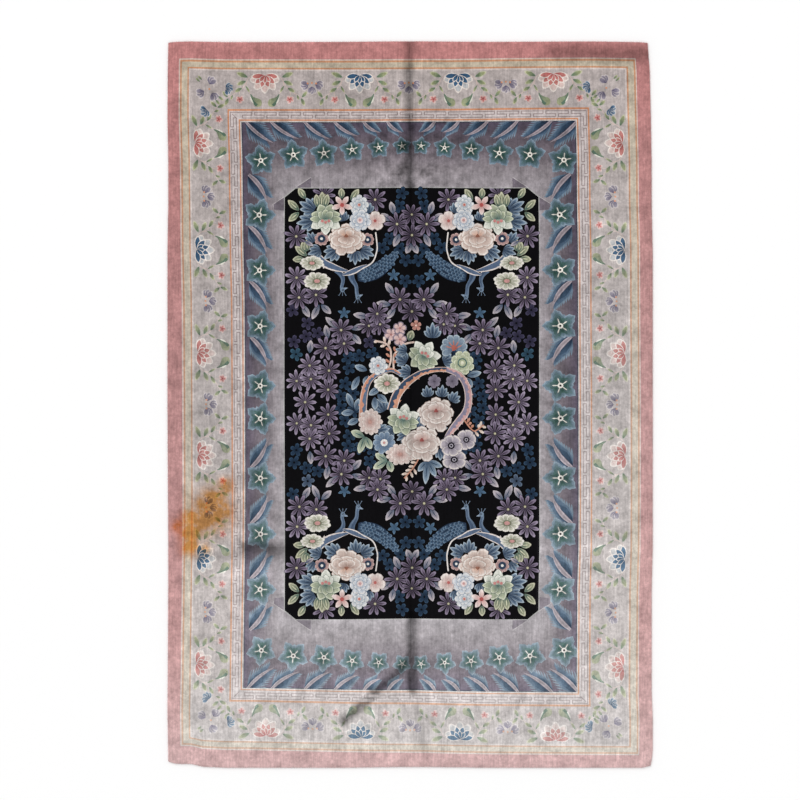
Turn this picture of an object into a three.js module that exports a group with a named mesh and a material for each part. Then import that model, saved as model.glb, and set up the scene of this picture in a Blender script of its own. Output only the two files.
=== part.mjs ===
// A hand-knotted silk pile rug lying flat on the floor.
// Foundation, pile and overcast edges are one cloth, so the rug is one solid. Its outline is as
// uneven as hand weaving leaves it, and its top carries the soft creases of having been folded.
// Millimetres. +X runs across the rug, +Y along it, +Z up. The origin is mid-underside.

import * as THREE from 'three';

// Driving dimensions
const rugWidth = 1830;
const rugLength = 2740;
const foundationThickness = 3;
const pileHeight = 7;
const rimHeight = 6; // the pile rolls over to this height at the edge
const rimRoll = 14; // width of that roll

// Cells of the top between the rolled rims
const columnCount = 40;
const rowCount = 60;

const pileColour = 0x8f8288;
const pileRoughness = 0.8;

// How far the long edges lie inside the full width, at stations along the rug.
const longEdges = [
  { along: -1370, left: 3, right: 8 },
  { along: -1300, left: 2, right: 0 },
  { along: -1180, left: 0, right: 0 },
  { along: -1080, left: 1, right: 4 },
  { along: -700, left: 3, right: 4 },
  { along: -540, left: 3, right: 0 },
  { along: 0, left: 0, right: 0 },
  { along: 580, left: 0, right: 0 },
  { along: 760, left: 3, right: 4 },
  { along: 920, left: 3, right: 4 },
  { along: 1080, left: 0, right: 7 },
  { along: 1260, left: 1, right: 11 },
  { along: 1370, left: 3, right: 19 },
];

// How far the two ends lie inside the full length, at stations across the rug.
const endEdges = [
  { across: -915, near: 23, far: 5 },
  { across: -890, near: 15, far: 2 },
  { across: -830, near: 14, far: 0 },
  { across: -790, near: 4, far: 1 },
  { across: -700, near: 0, far: 3 },
  { across: -250, near: 0, far: 2 },
  { across: -40, near: 3, far: 0 },
  { across: 60, near: 3, far: 0 },
  { across: 300, near: 0, far: 2 },
  { across: 700, near: 0, far: 0 },
  { across: 880, near: 0, far: 3 },
  { across: 915, near: 7, far: 6 },
];

// Each crease is a soft trough (negative rise) or ridge (positive rise) along a straight line.
const creases = [
  { at: 'centre fold, far end', startX: -4, startY: 1360, endX: 0, endY: 820, rise: -3.5, halfWidth: 60 },
  { at: 'centre fold, field', startX: 0, startY: 820, endX: 6, endY: -800, rise: -1.5, halfWidth: 50 },
  { at: 'centre fold, near end', startX: 6, startY: -800, endX: 10, endY: -1075, rise: -3.5, halfWidth: 60 },
  { at: 'centre fold, rim', startX: 10, startY: -1075, endX: 66, endY: -1330, rise: -2.5, halfWidth: 55 },
  { at: 'slanting fold, near end', startX: 4, startY: -960, endX: -248, endY: -1195, rise: 3, halfWidth: 60 },
  { at: 'cross fold, left', startX: -880, startY: -572, endX: -470, endY: -574, rise: -3, halfWidth: 55 },
  { at: 'swell below that fold', startX: -700, startY: -640, endX: -480, endY: -640, rise: 2, halfWidth: 60 },
  { at: 'cross fold, right', startX: 480, startY: -544, endX: 890, endY: -540, rise: 2.5, halfWidth: 55 },
  { at: 'upper cross fold, right', startX: 490, startY: 690, endX: 880, endY: 672, rise: 2.5, halfWidth: 55 },
  { at: 'upper cross fold, left', startX: -860, startY: 668, endX: -480, endY: 660, rise: 2, halfWidth: 55 },
  { at: 'left border fold', startX: -890, startY: 470, endX: -640, endY: 476, rise: 2, halfWidth: 50 },
  { at: 'low left slant', startX: -890, startY: -720, endX: -570, endY: -800, rise: 1.5, halfWidth: 55 },
];

// Value of one column of a table at a station, on straight lines between its rows.
function readTable(rows, stationName, columnName, station) {
  const next = rows.findIndex((row) => row[stationName] >= station);
  if (next <= 0) {
    return rows[next === 0 ? 0 : rows.length - 1][columnName];
  }
  const before = rows[next - 1];
  const after = rows[next];
  const share = (station - before[stationName]) / (after[stationName] - before[stationName]);
  return THREE.MathUtils.lerp(before[columnName], after[columnName], share);
}

// Lines of the grid: both ends, the inner side of each rolled rim, and even steps between.
function gridLines(size, cellCount) {
  const inner = size / 2 - rimRoll;
  const lines = [-size / 2];
  for (let step = 0; step <= cellCount; step += 1) {
    lines.push(THREE.MathUtils.lerp(-inner, inner, step / cellCount));
  }
  lines.push(size / 2);
  return lines;
}

// A point of the even rectangle, moved to its place inside the uneven outline.
function outlinePoint(x, y) {
  const left = -rugWidth / 2 + readTable(longEdges, 'along', 'left', y);
  const right = rugWidth / 2 - readTable(longEdges, 'along', 'right', y);
  const near = -rugLength / 2 + readTable(endEdges, 'across', 'near', x);
  const far = rugLength / 2 - readTable(endEdges, 'across', 'far', x);
  return new THREE.Vector2(
    THREE.MathUtils.lerp(left, right, x / rugWidth + 0.5),
    THREE.MathUtils.lerp(near, far, y / rugLength + 0.5),
  );
}

// How much the creases raise the top at a point, as a raised cosine across each line.
function creaseHeight(point) {
  let height = 0;
  for (const crease of creases) {
    const line = new THREE.Line3(
      new THREE.Vector3(crease.startX, crease.startY, 0),
      new THREE.Vector3(crease.endX, crease.endY, 0),
    );
    const foot = line.closestPointToPoint(new THREE.Vector3(point.x, point.y, 0), true, new THREE.Vector3());
    const distance = Math.hypot(point.x - foot.x, point.y - foot.y);
    const share = Math.min(distance / crease.halfWidth, 1);
    height += (crease.rise * (1 + Math.cos(Math.PI * share))) / 2;
  }
  return height;
}

// The closed solid: a grid for the top, a wall around the rim, and a fan for the flat underside.
function rugGeometry() {
  const acrossLines = gridLines(rugWidth, columnCount);
  const alongLines = gridLines(rugLength, rowCount);
  const lastColumn = acrossLines.length - 1;
  const lastRow = alongLines.length - 1;
  const positions = [];
  const triangles = [];
  const topIndex = (column, row) => row * (lastColumn + 1) + column;

  alongLines.forEach((y, row) => {
    acrossLines.forEach((x, column) => {
      const point = outlinePoint(x, y);
      const onRim = column === 0 || column === lastColumn || row === 0 || row === lastRow;
      const height = onRim ? rimHeight : foundationThickness + pileHeight + creaseHeight(point);
      positions.push(point.x, point.y, height);
    });
  });

  for (let row = 0; row < lastRow; row += 1) {
    for (let column = 0; column < lastColumn; column += 1) {
      const a = topIndex(column, row);
      const b = topIndex(column + 1, row);
      const c = topIndex(column + 1, row + 1);
      const d = topIndex(column, row + 1);
      triangles.push(a, b, c, a, c, d);
    }
  }

  // Rim of the top, counter-clockwise from the near left corner
  const columns = [...Array(lastColumn).keys()];
  const rows = [...Array(lastRow).keys()];
  const rim = [
    ...columns.map((column) => topIndex(column, 0)),
    ...rows.map((row) => topIndex(lastColumn, row)),
    ...columns.map((column) => topIndex(lastColumn - column, lastRow)),
    ...rows.map((row) => topIndex(0, lastRow - row)),
  ];

  const firstUnder = positions.length / 3;
  for (const index of rim) {
    positions.push(positions[index * 3], positions[index * 3 + 1], 0);
  }
  const underCentre = positions.length / 3;
  positions.push(0, 0, 0);

  rim.forEach((top, step) => {
    const following = (step + 1) % rim.length;
    const under = firstUnder + step;
    const underNext = firstUnder + following;
    triangles.push(top, under, underNext, top, underNext, rim[following]);
    triangles.push(underCentre, underNext, under);
  });

  const geometry = new THREE.BufferGeometry();
  geometry.setAttribute('position', new THREE.Float32BufferAttribute(positions, 3));
  geometry.setIndex(triangles);
  geometry.computeVertexNormals();
  return geometry;
}

const silkPile = new THREE.MeshStandardMaterial({
  color: pileColour,
  roughness: pileRoughness,
  metalness: 0,
});

const rug = new THREE.Mesh(rugGeometry(), silkPile);
rug.name = 'rug';

const part = new THREE.Group();
part.add(rug);

export default part;
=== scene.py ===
import math
import random

import bpy
import numpy as np
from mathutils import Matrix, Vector
from mathutils.geometry import delaunay_2d_cdt


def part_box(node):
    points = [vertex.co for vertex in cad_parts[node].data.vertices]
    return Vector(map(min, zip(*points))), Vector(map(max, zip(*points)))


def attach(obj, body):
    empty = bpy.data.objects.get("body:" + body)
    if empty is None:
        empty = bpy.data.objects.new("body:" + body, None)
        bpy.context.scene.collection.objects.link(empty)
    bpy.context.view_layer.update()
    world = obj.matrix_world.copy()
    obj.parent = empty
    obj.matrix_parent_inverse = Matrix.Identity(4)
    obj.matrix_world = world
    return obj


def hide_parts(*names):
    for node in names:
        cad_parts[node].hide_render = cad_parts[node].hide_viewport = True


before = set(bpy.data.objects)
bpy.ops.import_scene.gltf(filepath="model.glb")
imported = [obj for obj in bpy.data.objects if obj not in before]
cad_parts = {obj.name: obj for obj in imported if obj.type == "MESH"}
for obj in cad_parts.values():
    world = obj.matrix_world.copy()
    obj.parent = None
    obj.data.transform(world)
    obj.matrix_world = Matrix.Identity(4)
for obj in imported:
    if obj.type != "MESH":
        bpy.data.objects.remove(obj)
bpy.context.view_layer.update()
random.seed(1931)
mm = 0.001

# The rug lies with its middle at the origin, X across, Y along. All tables are in mm.
low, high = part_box("rug")
rug = {
    "width": (high.x - low.x) / mm,
    "length": (high.y - low.y) / mm,
    "foundation": 3,      # cotton ground
    "pile": 7,            # silk above it
    "rimHeight": 6,       # the pile rolls over to this height at the edge
    "rimRoll": 14,
    "carving": 0.35,      # how much each dyed layer stands above the one around it
    "grid": 16,           # spacing of the points that carry the creases
    "smallestBackPatch": (110, 700),    # square mm, of a ground dye and of a dye laid over one
}
halfWidth = rug["width"] / 2
halfLength = rug["length"] / 2
print("rug", round(rug["width"]), "x", round(rug["length"]), "mm")

# How far the long edges lie inside the full width: station along the rug, left, right
longEdges = np.array([
    (-1370, 3, 8), (-1300, 2, 0), (-1180, 0, 0), (-1080, 1, 4), (-700, 3, 4), (-540, 3, 0), (0, 0, 0),
    (580, 0, 0), (760, 3, 4), (920, 3, 4), (1080, 0, 7), (1260, 1, 11), (1370, 3, 19),
]).T
# The same for the ends: station across the rug, near end, far end
endEdges = np.array([
    (-915, 23, 5), (-890, 15, 2), (-830, 14, 0), (-790, 4, 1), (-700, 0, 3), (-250, 0, 2), (-40, 3, 0),
    (60, 3, 0), (300, 0, 2), (700, 0, 0), (880, 0, 3), (915, 7, 6),
]).T
# The bands bow as they run: station along the rug, shift to the right on the left and on the right side
sideBows = np.array([
    (-1370, 3, 5), (-1116, 5, 7), (-738, 8, 9), (-361, 12, 11), (17, 13, 11), (395, 11, 9), (772, 2, 8),
    (1112, -1, 6),
]).T
# The same for the ends: station across the rug, shift towards the far end at the near and at the far end
endBows = np.array([(-915, 8, -2), (-604, 6, -3), (-302, 0, -4), (-113, -5, -5), (151, -9, -4),
                    (340, -10, 0), (604, -12, 1), (915, -13, 1)]).T
bowReach = {"from": (0, 45, 280, 420), "share": (0, 1, 1, 0)}    # mm in from the edge
# Fold creases: start, end, rise, half width, and how much painted fold shade and crushed pile darken the
# pile there; a negative value is a painted highlight that pales it
creases = [
    ((-4, 1360), (0, 820), -3.5, 60, 0.95),
    ((0, 820), (6, -800), -1.5, 50, 0.25),
    ((6, -800), (10, -1075), -3.5, 60, 1.9),
    ((10, -1075), (66, -1330), -2.5, 55, 0.3),
    ((4, -960), (-248, -1195), 3, 60, 1.2),
    ((-880, -572), (-470, -574), -3, 55, 0.3),
    ((-700, -640), (-480, -640), 2, 60, -0.35),
    ((480, -544), (890, -540), 2.5, 55, -0.25),
    ((490, 690), (880, 672), 2.5, 55, -0.25),
    ((-860, 668), (-480, 660), 2, 55, -0.15),
    ((-890, 470), (-640, 476), 2, 50, -0.2),
    ((-890, -720), (-570, -800), 1.5, 55, -0.15),
    ((560, 1325), (880, 1320), 0, 120, 0.7),
    ((-625, -540), (-480, -541), 0, 80, 0.95),
]


def lineDistance(x, y, start, end):
    start, end = np.array(start, float), np.array(end, float)
    run = end - start
    share = ((x - start[0]) * run[0] + (y - start[1]) * run[1]) / (run @ run)
    share = np.clip(share, 0, 1)
    return np.hypot(x - start[0] - share * run[0], y - start[1] - share * run[1])


# Moves points of the even rectangle to the uneven outline
def toOutline(x, y):
    left = -halfWidth + np.interp(y, longEdges[0], longEdges[1])
    right = halfWidth - np.interp(y, longEdges[0], longEdges[2])
    near = -halfLength + np.interp(x, endEdges[0], endEdges[1])
    far = halfLength - np.interp(x, endEdges[0], endEdges[2])
    sideShare = np.interp(halfWidth - np.abs(x), bowReach["from"], bowReach["share"])
    endShare = np.interp(halfLength - np.abs(y), bowReach["from"], bowReach["share"])
    bowX = sideShare * np.where(x < 0, np.interp(y, sideBows[0], sideBows[1]),
                                np.interp(y, sideBows[0], sideBows[2]))
    bowY = endShare * np.where(y < 0, np.interp(x, endBows[0], endBows[1]),
                               np.interp(x, endBows[0], endBows[2]))
    return (left + (right - left) * (x / rug["width"] + 0.5) + bowX,
            near + (far - near) * (y / rug["length"] + 0.5) + bowY)


def creaseLift(x, y):
    lift = np.zeros_like(x)
    for start, end, rise, reach, _ in creases:
        share = np.minimum(lineDistance(x, y, start, end) / reach, 1)
        lift += rise * (1 + np.cos(math.pi * share)) / 2
    return lift


# Height of the pile's top, rolled over at the rim
def pileTop(x, y, edgeX, edgeY):
    inside = np.minimum(halfWidth - np.abs(edgeX), halfLength - np.abs(edgeY))
    share = np.clip(inside / rug["rimRoll"], 0, 1)
    full = rug["foundation"] + rug["pile"] + creaseLift(x, y)
    return rug["rimHeight"] + (full - rug["rimHeight"]) * np.sqrt(1 - (1 - share) ** 2)


def linear(hexText):
    parts = [int(hexText[i:i + 2], 16) / 255 for i in (1, 3, 5)]
    return tuple(c / 12.92 if c <= 0.04045 else ((c + 0.055) / 1.055) ** 2.4 for c in parts)


# The pen says where a motif's own u and v run on the rug, and which board it is dyed on
boards = {"border": [], "centre": []}
pen = {"board": "border", "origin": (0, 0), "u": (1, 0), "v": (0, 1)}


def loopArea(loop):
    ahead = np.roll(loop, -1, axis=0)
    return (loop[:, 0] * ahead[:, 1] - ahead[:, 0] * loop[:, 1]).sum() / 2


def usePen(board, origin=(0, 0), u=(1, 0), v=(0, 1)):
    pen.update(board=board, origin=origin, u=u, v=v)


# One dyed shape. Its colour runs from near, at its first point, to far, at its middle point
def lay(points, near, far=None, layer=0):
    corners = np.array(points, float) @ np.array([pen["u"], pen["v"]], float) + pen["origin"]
    shape = {
        "loop": corners if loopArea(corners) > 0 else corners[::-1],
        "near": linear(near), "far": linear(far or near), "layer": layer, "graded": False,
        "start": corners[0], "end": corners[len(corners) // 2],
    }
    boards[pen["board"]].append(shape)
    return shape


def put(points, x, y, turn=0, squash=1, lean=0):
    turn, lean = math.radians(turn), math.radians(lean)
    placed = []
    for u, v in points:
        a = u * math.cos(turn) - v * math.sin(turn)
        b = (u * math.sin(turn) + v * math.cos(turn)) * squash
        placed.append((x + a * math.cos(lean) - b * math.sin(lean),
                       y + a * math.sin(lean) + b * math.cos(lean)))
    return placed


# A petal along +u from its root, widest at belly; blunt near 0.5 is round, near 1 is pointed
def petal(length, width, belly=0.62, blunt=0.7, steps=7, root=0):
    power = math.log(0.5) / math.log(belly)
    shares = [0.5 - 0.5 * math.cos(math.pi * step / steps) for step in range(steps + 1)]
    upper = [(root + length * s, 0.5 * width * max(math.sin(math.pi * s ** power), 0) ** blunt)
             for s in shares]
    return upper + [(u, -v) for u, v in reversed(upper[1:-1])]


def disc(radius, steps=12, lobes=0, depth=0):
    ring = []
    for step in range(steps):
        angle = 2 * math.pi * step / steps
        reach = radius * (1 + depth * math.cos(lobes * angle))
        ring.append((reach * math.cos(angle), reach * math.sin(angle)))
    return ring


# A smooth run through a few points, with a width at each: x, y, width
def smoothRun(stations, perSpan=5):
    rows = [stations[0], *stations, stations[-1]]
    run = []
    for a, b, c, d in zip(rows, rows[1:], rows[2:], rows[3:]):
        for step in range(perSpan):
            t = step / perSpan
            run.append(tuple(
                0.5 * (2 * q + (r - p) * t + (2 * p - 5 * q + 4 * r - s) * t * t
                       + (3 * q - p - 3 * r + s) * t ** 3)
                for p, q, r, s in zip(a, b, c, d)))
    run.append(tuple(float(value) for value in stations[-1]))
    return run


# Left and right sides of a run, moved sideways by shift times its width
def runSides(run, shift=0, share=1):
    left, right = [], []
    for index, (x, y, width) in enumerate(run):
        before, after = run[max(index - 1, 0)], run[min(index + 1, len(run) - 1)]
        dx, dy = after[0] - before[0], after[1] - before[1]
        size = math.hypot(dx, dy) or 1
        nx, ny = -dy / size, dx / size
        middle, half = shift * width, 0.5 * share * width
        left.append((x + nx * (middle + half), y + ny * (middle + half)))
        right.append((x + nx * (middle - half), y + ny * (middle - half)))
    return left, right


# One dye is one shape; a dye that runs into another is laid in short lengths
def stroke(run, near, far=None, shift=0, share=1, layer=0):
    left, right = runSides(run, shift, share)
    if not far or far == near:
        lay(left + right[::-1], near, None, layer)
        return
    count = len(run) - 1
    first, last = np.array(linear(near)), np.array(linear(far))
    for index in range(count):
        quad = [right[index], left[index], left[index + 1], right[index + 1]]
        shape = lay(quad, near, None, layer)
        shape["near"] = shape["far"] = tuple(first + (last - first) * (index + 0.5) / count)


# A petal as it is knotted: a dark line round it, an edge, a fill that runs from deep to bright, and a vein
def dyedPetal(x, y, turn, length, width, style, squash=1, lean=0):
    belly, blunt = style.get("belly", 0.62), style.get("blunt", 0.7)
    steps = style.get("steps", 6)
    inset = style.get("inset", 0.3)
    if "line" in style:
        grow = style.get("lineWidth", 1.6)
        behind = petal(length + grow, width + 2 * grow, belly, blunt, steps)
        lay(put(behind, x, y, turn, squash, lean), style["line"], None, -1)
    whole = petal(length, width, belly, blunt, steps)
    lay(put(whole, x, y, turn, squash, lean), style.get("root", style["edge"]), style["edge"])
    within = petal(length * (1 - 0.45 * inset), width * (1 - inset), belly, blunt, steps, length * 0.02)
    lay(put(within, x, y, turn, squash, lean), style["deep"], style["fill"], 1)
    if "vein" in style:
        line = petal(length * 0.55, width * 0.16, 0.4, 0.9, 3, length * 0.2)
        lay(put(line, x, y, turn, squash, lean), style["vein"], None, 1)


# Rows of petals round a heart, outer row first
def flower(x, y, radius, style, turn=0, squash=1, lean=0):
    count = style["petals"]
    for reach, spin in style.get("rows", [(1, 0)]):
        for step in range(count):
            sway = math.sin(2.4 * step + 0.13 * x + 0.29 * y)
            size = radius * reach * (1 + style.get("uneven", 0) * sway)
            angle = turn + spin + 360 * step / count
            dyedPetal(x, y, angle, size, radius * reach * style["width"], style, squash, lean)
    for share, colour in style["heart"]:
        lay(put(disc(radius * share, 9), x, y, 0, squash, lean), colour, None, 2)


# Rows of petals that open from one root, back row first
def fan(x, y, size, rows, turn=0):
    for row in rows:
        count = row["count"]
        for step in range(count):
            share = step / (count - 1) if count > 1 else 0.5
            bend = 2 * share - 1
            angle = row["from"] + (row["to"] - row["from"]) * share
            length = size * row["length"] * (1 - row.get("droop", 0) * bend * bend)
            rootX, rootY = put([(size * row.get("rootX", 0), size * row.get("rootY", 0))], x, y, turn)[0]
            dyedPetal(rootX, rootY, turn + angle, length, size * row["width"], row["style"])


# Leaf from base to tip
def leaf(baseX, baseY, tipX, tipY, width, style):
    length = math.hypot(tipX - baseX, tipY - baseY)
    turn = math.degrees(math.atan2(tipY - baseY, tipX - baseX))
    dyedPetal(baseX, baseY, turn, length, width, style)


# Leaf of several pointed lobes, outer lobes first
def spray(x, y, turn, size, style, lobes=5, spread=104):
    order = sorted(range(lobes), key=lambda step: -abs(step - (lobes - 1) / 2))
    for step in order:
        bend = 2 * step / (lobes - 1) - 1
        length = size * (1 - 0.3 * abs(bend))
        dyedPetal(x, y, turn + bend * spread / 2, length, size * 0.36, style)


# Pink edge, rolled over in a few lines, then the bands inside it
bands = [  # dye, then where the band starts from the left, right, far and near edge
    ("#b97d7b", 0, 0, 0, 0),
    ("#b97d7b", 2, 2, 2, 2),
    ("#b97d7b", 5, 5, 5, 5),
    ("#b97d7b", 9, 9, 9, 9),
    ("#b97d7b", 14, 14, 14, 14),
    ("#c9b5ab", 43, 56, 62, 60),
    ("#c08a68", 48, 60, 67, 65),
    ("#bdb09c", 54, 66, 74, 71),
    ("#c08a68", 76, 88, 94, 89),
    ("#c5b9b4", 81, 94, 100, 94),
    ("#b1a6a3", 87, 100, 106, 100),
    ("#c4845f", 228, 239, 250, 243),
    ("#c3b7b5", 234, 245, 257, 250),
    ("#c4845f", 270, 281, 289, 287),
    ("#cbc0bb", 275, 286, 295, 291),
]
mainEdge = (87, 100, 106, 100)     # where the flowered border starts
fretEdge = (234, 245, 257, 250)    # where the key fret starts
innerEdge = (280, 290, 300, 296)   # where the star-flower band starts
fieldEdge = (441, 428, 553, 560)   # where the dark field starts


# Corner to corner in even steps, so that the sides can follow the outline and the creases
def stepped(corners, step):
    ring = []
    for (x0, y0), (x1, y1) in zip(corners, corners[1:] + corners[:1]):
        count = max(1, round(math.hypot(x1 - x0, y1 - y0) / step))
        ring += [(x0 + (x1 - x0) * k / count, y0 + (y1 - y0) * k / count) for k in range(count)]
    return ring


def frameCorners(left, right, far, near, step=0):
    corners = [
        (-halfWidth + left, -halfLength + near), (halfWidth - right, -halfLength + near),
        (halfWidth - right, halfLength - far), (-halfWidth + left, halfLength - far),
    ]
    if not step:
        return corners
    return stepped(corners, step)


# The four sides of a band: u runs along the side, v inwards from the band's outer edge
def sidePens(edge):
    (left, near), _, (right, far), _ = frameCorners(*edge)
    return {
        "far": ((left, far), (1, 0), (0, -1), right - left),
        "near": ((left, near), (1, 0), (0, 1), right - left),
        "left": ((left, near), (0, 1), (1, 0), far - near),
        "right": ((right, near), (0, 1), (-1, 0), far - near),
    }


usePen("border")
for dye, *starts in bands:
    lay(frameCorners(*starts, step=rug["grid"]), dye)
print("bands laid")

# Key fret: one thin line that runs out, back and on between three rows
fret = {"repeat": 90.6, "bar": 80, "rows": (5, 16, 27), "line": 3.2, "dye": "#91807f"}


def fretSide(length):
    outer, middle, inner = fret["rows"]
    back = fret["bar"] - fret["repeat"] / 2
    count = int((length - 2 * outer) / fret["repeat"])
    scale = (length - 2 * outer - fret["bar"] * 0.7) / (count * fret["repeat"])
    bar, back = fret["bar"] * scale, back * scale
    path = [(outer, outer)]
    for step in range(count):
        start = outer + step * 2 * (bar - back)
        path += [(start + bar, outer), (start + bar, middle), (start + bar - back, middle)]
        path += [(start + bar - back, inner), (start + 2 * bar - back, inner)]
        path += [(start + 2 * bar - back, middle), (start + 2 * bar - 2 * back, middle)]
        path += [(start + 2 * bar - 2 * back, outer)]
    return path + [(length - outer, outer)]


def bar(a, b, width, dye):
    size = math.hypot(b[0] - a[0], b[1] - a[1])
    turn = math.degrees(math.atan2(b[1] - a[1], b[0] - a[0]))
    half = width / 2
    lay(put([(-half, -half), (-half, half), (size + half, half), (size + half, -half)], *a, turn), dye)


for origin, u, v, length in sidePens(fretEdge).values():
    usePen("border", origin, u, v)
    path = fretSide(length)
    for a, b in zip(path, path[1:]):
        bar(a, b, fret["line"], fret["dye"])
    bar((12, 12), (30, 30), fret["line"], fret["dye"])
print("key fret laid")

# Flowered border: lotus palmettes with butterfly flowers between them, joined by scrolling stems
lotusDyes = {  # deep and tip of the front petals, then of the back petals
    "red": ("#9a4343", "#c27e77", "#c08a83", "#cfbbb4"),
    "blue": ("#1f3b57", "#3f6180", "#6f8798", "#bcbab9"),
}
creamLine = "#d9cec6"
stemDye = "#cbb3a8"
scrollDyes = {"deep": "#566f5e", "tip": "#a3a47c", "curl": "#d9d5c8"}
borderLeaf = {"edge": "#bfbc9f", "root": "#758570", "deep": "#4b6655", "fill": "#989a6f", "inset": 0.3,
              "belly": 0.55, "blunt": 0.7, "steps": 4}
budHalo = {"petals": 5, "width": 0.8, "edge": "#d0b7b1", "deep": "#c79c97", "fill": "#cfaea8", "steps": 4,
           "heart": [], "uneven": 0.12}
pinkBud = {"petals": 5, "width": 0.66, "edge": "#c98d87", "deep": "#ac5050", "fill": "#c27b76", "steps": 4,
           "heart": [(0.22, "#a04a4a")], "uneven": 0.12}
wing = {"edge": "#b8afb1", "root": "#7b7386", "deep": "#56506a", "fill": "#908894", "inset": 0.24,
        "steps": 4, "line": "#cfc4bf", "lineWidth": 1.2}
blueWing = {"edge": "#9aa4ae", "root": "#33506a", "deep": "#203952", "fill": "#56708a", "inset": 0.26,
            "steps": 4, "line": "#cfc4bf", "lineWidth": 1.2}
orangeDot = "#c98a68"


# A leaf that rolls over at its end, dark along its hollow side, with a pale crescent in the roll
def scrollLeaf(x, y, turn, size, hand=1):
    stations = [(0, 0, 0.06), (0.3, 0.05, 0.2), (0.62, 0.03, 0.5), (0.92, -0.05, 0.68), (1.16, -0.1, 0.42),
                (1.26, -0.12, 0.06)]
    placed = put([(a * size, b * size * hand) for a, b, _ in stations], x, y, turn)
    run = smoothRun([(*point, w * size) for point, (_, _, w) in zip(placed, stations)], 3)
    stroke(run, scrollDyes["deep"], scrollDyes["tip"])
    stroke(run[:11], scrollDyes["deep"], None, 0.3 * hand, 0.34, 1)
    crescent = [(0.2, 0.14, 0.03), (0.48, 0.24, 0.13), (0.76, 0.26, 0.03)]
    rolled = put([(a * size, b * size * hand) for a, b, _ in crescent], x, y, turn)
    stroke(smoothRun([(*point, w * size) for point, (_, _, w) in zip(rolled, crescent)], 3),
           scrollDyes["curl"])


def stem(points, width=2.0, dye=stemDye):
    stroke(smoothRun([(x, y, width) for x, y in points], 4), dye)


def lotus(kind):
    deep, tip, backDeep, backTip = lotusDyes[kind]
    front = {"edge": creamLine, "deep": deep, "fill": tip, "inset": 0.26, "blunt": 0.68, "belly": 0.58}
    back = {"edge": creamLine, "deep": backDeep, "fill": backTip, "inset": 0.22, "blunt": 0.62,
            "belly": 0.66}
    fan(0, 16, 70, [
        {"count": 5, "from": 22, "to": 158, "length": 1.0, "droop": 0.14, "width": 0.46, "style": back},
        {"count": 6, "from": 8, "to": 172, "length": 0.72, "droop": -0.05, "width": 0.34, "style": front},
        {"count": 3, "from": 52, "to": 128, "length": 0.46, "width": 0.25, "style": front},
    ])


# Stems and leaves beside a lotus, for one side of it; u runs along the border, v inwards
lotusStems = [
    [(12, 12), (44, 15), (66, 34), (70, 60), (55, 87)],
    [(67, 38), (84, 64), (112, 84), (140, 101)],
    [(96, 74), (96, 96)],
]
lotusLeaves = [  # base, tip, width
    (64, 24, 108, 6, 21), (71, 38, 106, 53, 19), (86, 64, 114, 80, 16), (72, 56, 57, 82, 10),
    (140, 100, 160, 77, 15), (138, 103, 150, 131, 16), (122, 90, 128, 110, 10),
]


def lotusUnit(kind):
    base = dict(pen)
    for hand in (1, -1):
        usePen("border", base["origin"], tuple(hand * c for c in base["u"]), base["v"])
        for points in lotusStems:
            stem(points)
        for baseU, baseV, tipU, tipV, width in lotusLeaves:
            leaf(baseU, baseV, tipU, tipV, width, borderLeaf)
        scrollLeaf(54, 87, 126, 47, -1)
        flower(94, 108, 19, budHalo, 30, 0.8)
        flower(94, 108, 14, pinkBud, 12, 0.8)
    usePen("border", base["origin"], base["u"], base["v"])
    lotus(kind)


def lobe(u, v, turn, size, style):
    petals = {"count": 3, "from": -27, "to": 27, "length": 1, "droop": 0.06, "width": 0.62, "style": style}
    fan(u, v, size, [petals], turn)


butterflyLobes = [(12, 50, 14, 34), (-12, 50, 166, 34), (0, 58, 90, 31)]  # u, v, turn, size
butterflyDots = [(-16, 47), (0, 45), (16, 47)]
cornerLobes = [(72, 52, 300, 34), (52, 78, 150, 34), (82, 84, 60, 34)]
cornerBlueLobes = [(134, 70, -30, 32), (134, 70, 45, 24), (60, 146, 100, 32), (60, 146, 175, 24)]
cornerLeafPair = [(36, 44, 20, 28, 10), (44, 36, 28, 20, 10), (106, 96, 126, 112, 12),
                  (96, 110, 112, 128, 12)]


def butterfly():
    for u, v, turn, size in butterflyLobes:
        lobe(u, v, turn, size, wing)
    for u, v in butterflyDots:
        lay(put(disc(4, 7), u, v), orangeDot)


def cornerGroup():
    for u, v, turn, size in cornerBlueLobes:
        lobe(u, v, turn, size, blueWing)
    for u, v, turn, size in cornerLobes:
        lobe(u, v, turn, size, wing)
    lay(put(disc(4, 7), 72, 70), orangeDot)
    for baseU, baseV, tipU, tipV, width in cornerLeafPair:
        leaf(baseU, baseV, tipU, tipV, width, borderLeaf)


lotusStations = {  # distance of each lotus from the middle of its side, and its dye
    "long": [(193, "red"), (583, "blue"), (987, "red")],
    "end": [(187, "blue"), (546, "red")],
}
butterflyStations = {"long": (0, 390, 785), "end": (0, 368)}
for side, (origin, u, v, length) in sidePens(mainEdge).items():
    run = "long" if side in ("left", "right") else "end"
    centre = -(origin[0] * u[0] + origin[1] * u[1])    # the rug's own middle, as the borders are uneven
    motifs = lotusStations[run] + [(distance, None) for distance in butterflyStations[run]]
    for distance, dye in motifs:
        for hand in ((1, -1) if distance else (1,)):
            place = centre + hand * distance
            usePen("border", (origin[0] + u[0] * place, origin[1] + u[1] * place), u, v)
            if dye:
                lotusUnit(dye)
            else:
                butterfly()
for x, y in frameCorners(*mainEdge):
    usePen("border", (x, y), (-math.copysign(1, x), 0), (0, -math.copysign(1, y)))
    cornerGroup()
print("flowered border laid:", len(boards["border"]), "shapes")

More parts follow.
